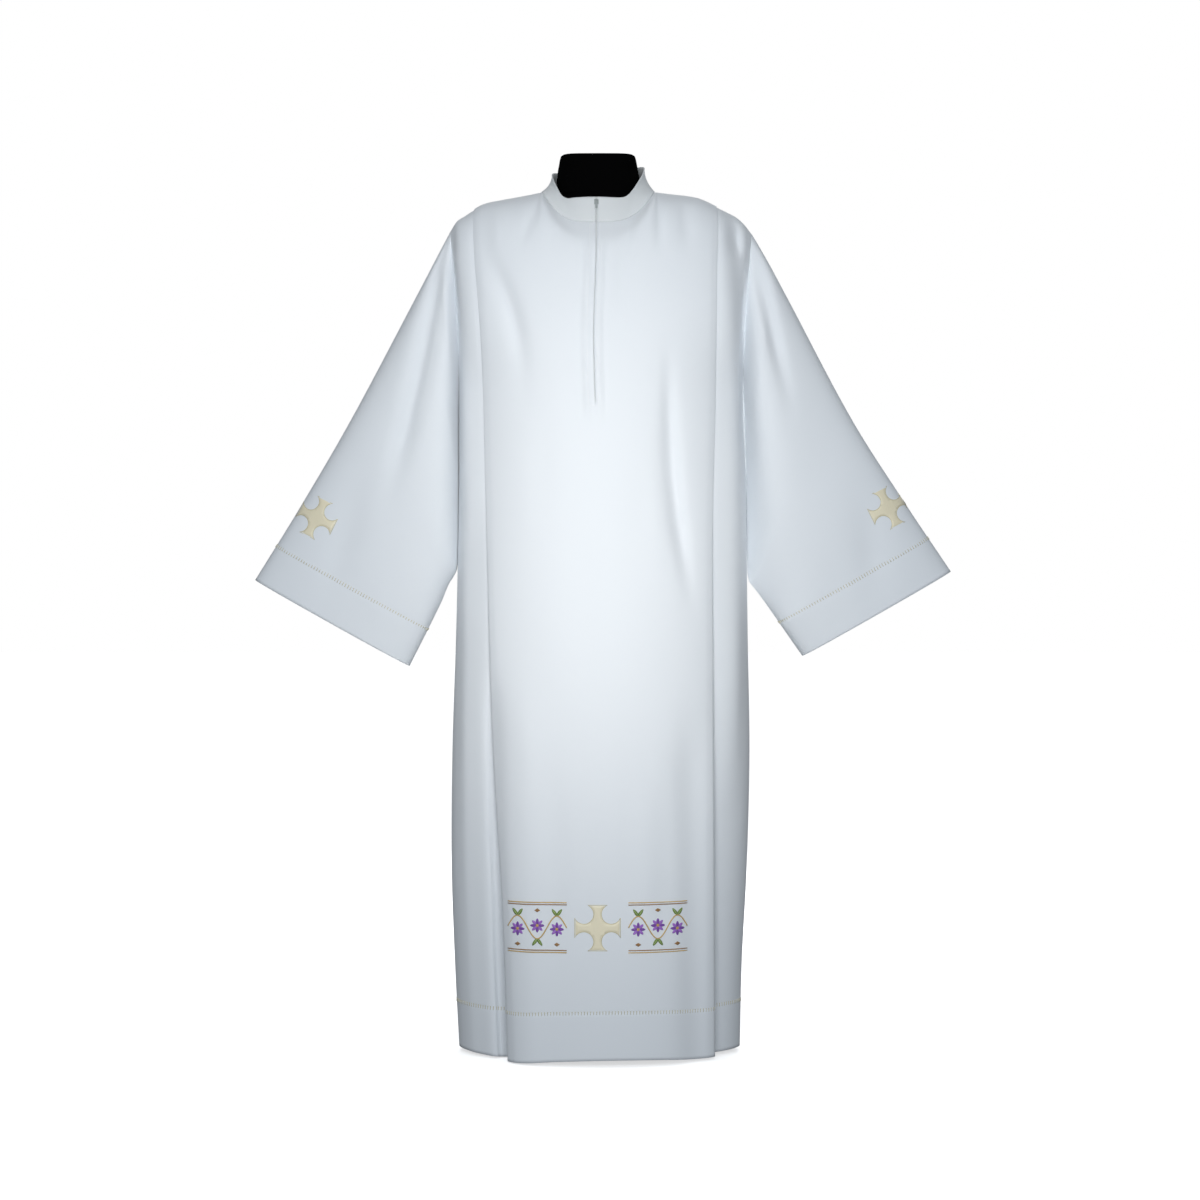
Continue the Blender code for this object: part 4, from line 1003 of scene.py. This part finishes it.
def make_collar(material):
    degrees = spaced(0.0, 180.0, COLLAR_COLUMNS)
    columns = [collar_column(LEFT, at) for at in degrees]
    columns += [collar_column(RIGHT, at) for at in reversed(degrees[:-1])]
    for column, side in ((columns[0], LEFT), (columns[-1], RIGHT)):
        for point in column:
            point.x += side * SLIT_HALF
    mesh = grid_mesh("collar_cloth", columns)
    face_outwards(mesh, 0, (0, FRONT, 0))
    return hang_cloth("collar_cloth", mesh, material, COLLAR_WALL, "collar"), columns


# ---------------------------------------------------------------- sewing

def walk(points, pitch):
    """Points and directions at equal distances along a polyline."""
    places, carried = [], pitch / 2
    for near, far in zip(points, points[1:]):
        length = (far - near).length
        if length < NO_LENGTH:
            continue
        while carried <= length:
            places.append((near.lerp(far, carried / length), (far - near) / length))
            carried += pitch
        carried -= length
    return places


def sewn_places(lines, pitch):
    """Equal steps along lines of (points, outward normals): points on the cloth's face, with directions."""
    for points, outs in lines:
        for spot, along in walk(points, pitch):
            nearest = min(range(len(points)), key=lambda k: (points[k] - spot).length_squared)
            yield spot + outs[nearest] * WALL / 2, along, outs[nearest]


def make_topstitch(name, lines, material):
    """Short threads that dip into the cloth at both ends."""
    bm = bmesh.new()
    for centre, along, out in sewn_places(lines, TOPSTITCH_PITCH):
        half = along * TOPSTITCH_LENGTH / 2
        points = [centre + half * reach + out * TOPSTITCH_RADIUS * rise for reach, rise in STITCH_PROFILE]
        tube_faces(bm, points, [TOPSTITCH_RADIUS] * 4, 4, [out] * 4)
    return new_object(name, finish_mesh(name, bm), material)


def make_hemstitch(name, lines, material):
    """The drawn-thread line: bundles of thread across it, slimmer in the middle."""
    bm = bmesh.new()
    for spot, along, out in sewn_places(lines, BUNDLE_PITCH):
        up = out.cross(along).normalized()
        points = [spot - up * BUNDLE_HALF, spot + out * BUNDLE_RADIUS * BUNDLE_RISE, spot + up * BUNDLE_HALF]
        tube_faces(bm, points, BUNDLE_RADII, 5, [out] * 3)
    return new_object(name, finish_mesh(name, bm), material)


def hem_line(face):
    """The hemstitch line round one half of the robe, through its pleats."""
    down = down_at(HEMSTITCH_Z)
    points = list(reversed(half_row(LEFT, face, down))) + half_row(RIGHT, face, down)[1:]
    outs = []
    for i in range(len(points)):
        out = ahead_at(points, i).cross(Vector((0, 0, -1))).normalized()
        outs.append(-out if face == FRONT else out)
    return points, outs


def cuff_along(side, angle, distance):
    """Where a sleeve is a distance short of its cuff, at an angle round it."""
    low, high = CUFF_SEARCH_FROM, 1.0
    for _ in range(CUFF_SEARCH_STEPS):
        middle = (low + high) / 2
        if cuff_distance(side, middle, angle) > distance:
            low = middle
        else:
            high = middle
    return low


def cuff_line(side, distance):
    """The line round a sleeve at a distance from its cuff, with its outward directions."""
    points, outs = [], []
    for i in range(2 * SLEEVE_COLUMNS + 1):
        turn = math.pi * i / SLEEVE_COLUMNS
        face, angle = (FRONT, turn) if i <= SLEEVE_COLUMNS else (BACK, 2 * math.pi - turn)
        along = cuff_along(side, angle, distance)
        point = sleeve_point(side, face, along, angle)
        points.append(point)
        before, behind = [sleeve_point(side, half, along, math.pi / 2) for half in (FRONT, BACK)]
        outs.append(point - before.lerp(behind, 0.5))
    for i, out in enumerate(outs):
        ahead = ahead_at(points, i)
        outs[i] = (out - ahead * out.dot(ahead) / max(ahead.length_squared, NO_LENGTH)).normalized()
    return points, outs


# ---------------------------------------------------------------- embroidery

def pad(bm, tree, centre, outline):
    """A raised, domed shape of thread on the cloth, from a flat outline round a centre."""
    middle, out = onto(tree, *centre)
    top = bm.verts.new(middle + out * (WALL / 2 + STITCH_RISE))
    previous = None
    for k in range(1, PAD_RINGS + 2):
        share = min(k / PAD_RINGS, 1.0)
        dome = STITCH_RISE * math.sqrt(max(1 - (k / (PAD_RINGS + 1)) ** 2, 0.0))
        rise = dome if k <= PAD_RINGS else UNDER_CLOTH
        flat = [[c + (at - c) * share for at, c in zip(point, centre)] for point in outline]
        ring = [bm.verts.new(point) for point in on_cloth(tree, flat, WALL / 2 + rise)[0]]
        for i in range(len(ring)):
            j = (i + 1) % len(ring)
            if previous is None:
                bm.faces.new((top, ring[i], ring[j]))
            else:
                bm.faces.new((previous[i], ring[i], ring[j], previous[j]))
        previous = ring


def couch(bm, tree, flat_points, radius, sides=5):
    """A cord sewn down along flat points, a little sunk into the cloth."""
    lay_cord(bm, tree, flat_points, radius, radius * COUCHED_RISE, sides)


def oval(centre, along, half_length, half_width, count):
    """A flat oval that lies along an angle, slimmer at its tip."""
    points = []
    for k in range(count):
        turn = 2 * math.pi * k / count
        u = half_length * math.cos(turn)
        v = half_width * math.sin(turn) * (1 - OVAL_TAPER * math.cos(turn))
        points.append((centre[0] + u * math.cos(along) - v * math.sin(along),
                       centre[1] + u * math.sin(along) + v * math.cos(along)))
    return points


def cross_notch(arm, flare):
    """The round notch between two arms: how far its centre is from both axes, and its radius."""
    b = arm + flare - CROSS_WAIST
    centre = b - math.sqrt(b ** 2 - (arm ** 2 + flare ** 2 - CROSS_WAIST ** 2))
    return centre, centre - CROSS_WAIST


def cross_outline(arm, flare):
    """A cross with four round notches, as flat points round its centre."""
    centre, radius = cross_notch(arm, flare)
    first = math.degrees(math.atan2(flare - centre, arm - centre))
    points = []
    for quarter in range(4):
        for angle in spaced(first, -270 - first, NOTCH_POINTS):
            x = centre + radius * math.cos(math.radians(angle))
            z = centre + radius * math.sin(math.radians(angle))
            points += place_flat([(x, z)], (0.0, 0.0), -math.radians(90 * quarter))
    return points


def place_flat(points, place, lean):
    """Flat points turned by an angle and moved to a place on the robe."""
    c, s = math.cos(lean), math.sin(lean)
    return [(place[0] + x * c + z * s, place[1] + z * c - x * s) for x, z in points]


def cross_patch(bm, tree, place, lean, turn, corners):
    """A raised sheet over one arm or the middle of a cross: rows of flat points across it."""
    rows = []
    for row in corners:
        points = place_flat(place_flat([(x, z) for x, z, rise in row], (0.0, 0.0), turn), place, lean)
        verts = []
        for (x, z), (_, _, rise) in zip(points, row):
            spot, out = onto(tree, x, z)
            verts.append(bm.verts.new(spot + out * (WALL / 2 + rise)))
        rows.append(verts)
    for near, far in zip(rows, rows[1:]):
        for j in range(len(near) - 1):
            bm.faces.new((near[j], far[j], far[j + 1], near[j + 1]))


def make_cross(name, node, tree, place, lean, arm, flare, fill, edge):
    """A beige satin cross with a fine couched cord round it."""
    centre, radius = cross_notch(arm, flare)
    start = centre - radius * math.sqrt(0.5)
    grid = spaced(-1.0, 1.0, CROSS_GRID)
    middle = [[(x * start, z * start, CROSS_HEIGHT) for z in grid] for x in grid]
    bm = bmesh.new()
    cross_patch(bm, tree, place, lean, 0.0, middle)
    for quarter in range(4):
        rows = []
        for x in spaced(start, arm, CROSS_ROWS):
            half = centre - math.sqrt(radius ** 2 - (x - centre) ** 2)
            drop = CROSS_HEIGHT - UNDER_CLOTH if x == arm else 0.0
            rows.append([(x, half * share, max(rise - drop, UNDER_CLOTH)) for share, rise in CROSS_PROFILE])
        cross_patch(bm, tree, place, lean, math.radians(90 * quarter), rows)
    cross = new_object(name, finish_mesh(name, bm), fill)
    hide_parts(node)
    bm = bmesh.new()
    outline = place_flat(cross_outline(arm, flare), place, lean)
    couch(bm, tree, outline + outline[:2], CORD_RADIUS, 6)
    cord = new_object(name + "_cord", finish_mesh(name + "_cord", bm), edge)
    return [cross, cord]


def make_rosette(bms, tree, centre):
    """A flower of eight petals, dark and light in turn, round a gold eye."""
    for k in range(PETALS):
        turn = 2 * math.pi * k / PETALS
        spot = (centre[0] + PETAL_PLACE * math.cos(turn), centre[1] + PETAL_PLACE * math.sin(turn))
        shade = "purple_light" if k % 2 else "purple"
        pad(bms[shade], tree, spot, oval(spot, turn, *PETAL_HALF, 10))
    pad(bms["gold"], tree, centre, oval(centre, 0.0, EYE_REACH, EYE_REACH, 12))


def make_sprig(bms, tree, foot, turn):
    """Two slim leaves with pale veins, from one point of the scroll."""
    for spread in (-SPRIG_SPREAD, SPRIG_SPREAD):
        along = (math.cos(turn + spread), math.sin(turn + spread))
        reaches = [share * SPRIG_HALF[0] for share in VEIN_ENDS]
        middle, tip = [(foot[0] + reach * along[0], foot[1] + reach * along[1]) for reach in reaches]
        pad(bms["leaf"], tree, middle, oval(middle, turn + spread, *SPRIG_HALF, 14))
        lay_cord(bms["leaf_light"], tree, [foot, middle, tip], VEIN_RADIUS, STITCH_RISE)


def make_lozenge(bms, tree, centre):
    wide, high = LOZENGE_HALF
    corners = ((wide, 0.0), (0.0, high), (-wide, 0.0), (0.0, -high))
    pad(bms["gold_dark"], tree, centre, place_flat(corners, centre, 0.0))


def make_embroidery(tree, threads):
    """A scroll border to left and right of the cross: a rosette, a sprig and a lozenge to each bay."""
    bms = {name: bmesh.new() for name in threads}
    cx, cz = HEM_CROSS_PLACE
    bay = (BORDER_OUTER - BORDER_INNER) / BORDER_BAYS
    for side in (LEFT, RIGHT):
        scroll = []
        for u in spaced(BORDER_INNER, BORDER_OUTER, SCROLL_POINTS):
            wave = SCROLL_HEIGHT * math.sin(math.pi * (u - BORDER_INNER) / bay)
            scroll.append((cx + side * u, cz + wave))
        couch(bms["gold"], tree, scroll, SCROLL_RADIUS)
        for k in range(BORDER_BAYS):
            up = 1 if k % 2 == 0 else -1
            middle = cx + side * (BORDER_INNER + (k + 0.5) * bay)
            make_rosette(bms, tree, (middle, cz + up * ROSETTE_RISE))
            make_sprig(bms, tree, (middle, cz + up * SCROLL_HEIGHT), up * math.pi / 2)
            make_lozenge(bms, tree, (middle, cz - up * 0.5 * (SCROLL_HEIGHT + RAIL_HEIGHT)))
        for edge in (-1, 1):
            for shade, height in (("gold_dark", RAIL_HEIGHT), ("gold", RAIL_HEIGHT + RAIL_GAP)):
                reaches = spaced(BORDER_INNER, BORDER_OUTER, RAIL_POINTS)
                rail = [(cx + side * u, cz + edge * height) for u in reaches]
                couch(bms[shade], tree, rail, RAIL_RADIUS)
    pieces = []
    for name, bm in bms.items():
        mesh = finish_mesh("embroidery_" + name, bm)
        pieces.append(new_object(mesh.name, mesh, threads[name]))
    return pieces


# ---------------------------------------------------------------- zip

def slit_line(rows, collar_columns):
    """The middle of the slit, from the collar's rim down to the zip's end."""
    near, far = collar_columns[0], collar_columns[-1]
    points = [(a + b) / 2 for a, b in zip(reversed(near), reversed(far))]
    middle = len(rows[0]) // 2 - 1
    for down, row in zip(body_downs(), rows):
        if level_z(down) > ZIP_END_Z:
            points.append((row[middle] + row[middle + 1]) / 2)
    return points


def make_teeth(points, material):
    """The closed zip's small teeth, in turn from the left and the right."""
    bm = bmesh.new()
    for k, (spot, along) in enumerate(walk(points, TOOTH_PITCH)):
        shift = Vector(((-1) ** k * TOOTH_SHIFT[0], TOOTH_SHIFT[1], 0))
        made = bmesh.ops.create_cube(bm, size=1.0)["verts"]
        bmesh.ops.scale(bm, vec=TOOTH_SIZE, verts=made)
        lean = along.to_track_quat("-Z", "Y").to_matrix()
        bmesh.ops.rotate(bm, verts=made, cent=(0, 0, 0), matrix=lean)
        bmesh.ops.translate(bm, verts=made, vec=spot + shift)
    new_object("zip_teeth", finish_mesh("zip_teeth", bm), material)


def zip_stitch_lines(tree, slit):
    """The two rows that hold the zip in the front, joined by one across below it."""
    body = [point for point in slit if point.z < ZIP_STITCH_TOP_Z]
    end_z = ZIP_END_Z - ZIP_STITCH_DROP
    lines, ends = [], []
    for offset in (-ZIP_STITCH_LEFT, ZIP_STITCH_RIGHT):
        ends.append((body[-1].x + offset, end_z))
        lines.append(on_cloth(tree, [(point.x + offset, point.z) for point in body] + ends[-1:]))
    middle = ((ends[0][0] + ends[1][0]) / 2, end_z)
    lines.append(on_cloth(tree, [ends[0], middle, ends[1]]))
    return lines


def collar_stitch_lines(columns):
    """A row near the collar's foot and one near its rim."""
    lines = []
    for k in COLLAR_STITCH_ROWS:
        points = [column[k] for column in columns]
        outs = [Vector((point.x - NECK_X, point.y, COLLAR_STITCH_RISE)).normalized() for point in points]
        lines.append((points, outs))
    return lines


# ---------------------------------------------------------------- camera, light and floor

def make_camera():
    data = bpy.data.cameras.new("photo_camera")
    data.lens = CAMERA_LENS
    data.sensor_width = SENSOR_WIDTH
    camera = bpy.data.objects.new("photo_camera", data)
    camera.location = CAMERA_PLACE
    camera.rotation_euler = (math.radians(90), 0, 0)
    bpy.context.scene.collection.objects.link(camera)
    bpy.context.scene.camera = camera


def make_area_light(row):
    data = bpy.data.lights.new(row.name, "AREA")
    data.shape = "RECTANGLE"
    data.size, data.size_y = row.size
    data.energy = row.power
    data.spread = math.radians(row.spread)
    data.color = row.colour
    light = bpy.data.objects.new(row.name, data)
    light.location = row.place
    light.rotation_euler = (Vector(row.aim) - Vector(row.place)).to_track_quat("-Z", "Y").to_euler()
    light.visible_camera = False
    bpy.context.scene.collection.objects.link(light)


def make_world():
    """White as a backdrop, and a softer white as the studio's fill light."""
    world = bpy.data.worlds.new("studio")
    bpy.context.scene.world = world
    world.use_nodes = True
    nodes, links = world.node_tree.nodes, world.node_tree.links
    nodes.clear()
    backdrop, fill = nodes.new("ShaderNodeBackground"), nodes.new("ShaderNodeBackground")
    backdrop.inputs["Color"].default_value = (1, 1, 1, 1)
    backdrop.inputs["Strength"].default_value = 1.0
    fill.inputs["Color"].default_value = (*FILL_COLOUR, 1)
    fill.inputs["Strength"].default_value = FILL_STRENGTH
    path, mix = nodes.new("ShaderNodeLightPath"), nodes.new("ShaderNodeMixShader")
    out = nodes.new("ShaderNodeOutputWorld")
    links.new(path.outputs["Is Camera Ray"], mix.inputs[0])
    links.new(fill.outputs[0], mix.inputs[1])
    links.new(backdrop.outputs[0], mix.inputs[2])
    links.new(mix.outputs[0], out.inputs["Surface"])


def make_floor():
    """A pale floor that glows more strongly away from the robe, so that it fades into the backdrop."""
    mesh = bpy.data.meshes.new("floor")
    corners = [(x * FLOOR_HALF, y * FLOOR_HALF, 0) for x, y in ((-1, -1), (1, -1), (1, 1), (-1, 1))]
    mesh.from_pydata(corners, [], [(0, 1, 2, 3)])
    floor = bpy.data.objects.new("floor", mesh)
    bpy.context.scene.collection.objects.link(floor)
    material, shader = base_material("pale_floor", (0.9, 0.9, 0.9), 0.9)
    shader.inputs["Emission Color"].default_value = (1, 1, 1, 1)
    nodes, links = material.node_tree.nodes, material.node_tree.links
    place, reach = nodes.new("ShaderNodeTexCoord"), nodes.new("ShaderNodeVectorMath")
    fade = nodes.new("ShaderNodeMapRange")
    reach.operation = "LENGTH"
    fade.inputs["From Min"].default_value, fade.inputs["From Max"].default_value = FLOOR_GLOW_REACH
    fade.inputs["To Min"].default_value = FLOOR_GLOW_NEAR
    fade.inputs["To Max"].default_value = FLOOR_GLOW_FAR
    links.new(place.outputs["Object"], reach.inputs[0])
    links.new(reach.outputs["Value"], fade.inputs["Value"])
    links.new(fade.outputs["Result"], shader.inputs["Emission Strength"])
    shader.inputs["Specular IOR Level"].default_value = 0.0
    mesh.materials.append(material)
    floor.visible_diffuse = False
    floor.visible_glossy = False


# ---------------------------------------------------------------- the whole scene

def paint_solids():
    """Materials for the solids that are shown as they are."""
    grey = grey_metal_material()
    for node, material in (("form_torso", jersey_material()), ("form_pole", steel_material()),
                           ("form_base", steel_material()), ("zip_tape", tape_material()),
                           ("zip_slider", grey), ("zip_pull", grey)):
        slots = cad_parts[node].data.materials
        slots.clear()
        slots.append(material)


def make_stage():
    make_camera()
    make_world()
    make_floor()
    for row in LIGHTS:
        make_area_light(row)
    bpy.context.scene.view_settings.view_transform = "Standard"


def main():
    cloth = cloth_material()
    white_thread = thread_material("white_thread", (0.86, 0.88, 0.90))
    ecru = thread_material("ecru_thread", (0.60, 0.57, 0.44))
    satin_and_cord = (thread_material("beige_satin", (0.84, 0.77, 0.57), 0.45),
                      thread_material("gold_cord", (0.62, 0.55, 0.33), 0.5))

    front, front_rows = make_panel("front_cloth", "front_panel", FRONT, cloth)
    back, _ = make_panel("back_cloth", "back_panel", BACK, cloth)
    sleeves = {}
    for side, word in WORDS.items():
        sleeves[side] = make_sleeve("sleeve_%s_cloth" % word, "sleeve_" + word, side, cloth)
    collar, collar_columns = make_collar(collar_material())

    front_tree = tree_of(front.data)
    slit = slit_line(front_rows, collar_columns)
    make_teeth(slit, enamel_material())
    zip_stitch = make_topstitch("zip_stitching", zip_stitch_lines(front_tree, slit), white_thread)
    collar_stitch = make_topstitch("collar_stitching", collar_stitch_lines(collar_columns), white_thread)
    hem_front = make_hemstitch("hemstitch_front", [hem_line(FRONT)], ecru)
    hem_back = make_hemstitch("hemstitch_back", [hem_line(BACK)], ecru)

    threads = {name: thread_material("thread_" + name, colour) for name, colour in THREAD_COLOURS}
    on_hem = make_embroidery(front_tree, threads)
    on_hem += make_cross("cross_hem_satin", "cross_hem", front_tree, HEM_CROSS_PLACE, 0.0,
                         HEM_CROSS_ARM, HEM_CROSS_FLARE, *satin_and_cord)
    on_sleeve = {}
    for side, word in WORDS.items():
        tree = tree_of(sleeves[side].data)
        on_sleeve[side] = make_cross("cross_%s_satin" % word, "cross_" + word, tree, SLEEVE_CROSS_PLACE[side],
                                     -side * SLEEVE_CROSS_LEAN, CROSS_ARM, CROSS_FLARE, *satin_and_cord)
        on_sleeve[side].append(make_hemstitch("hemstitch_cuff_" + word, [cuff_line(side, CUFF_BAND)], ecru))
    paint_solids()

    make_stage()


main()
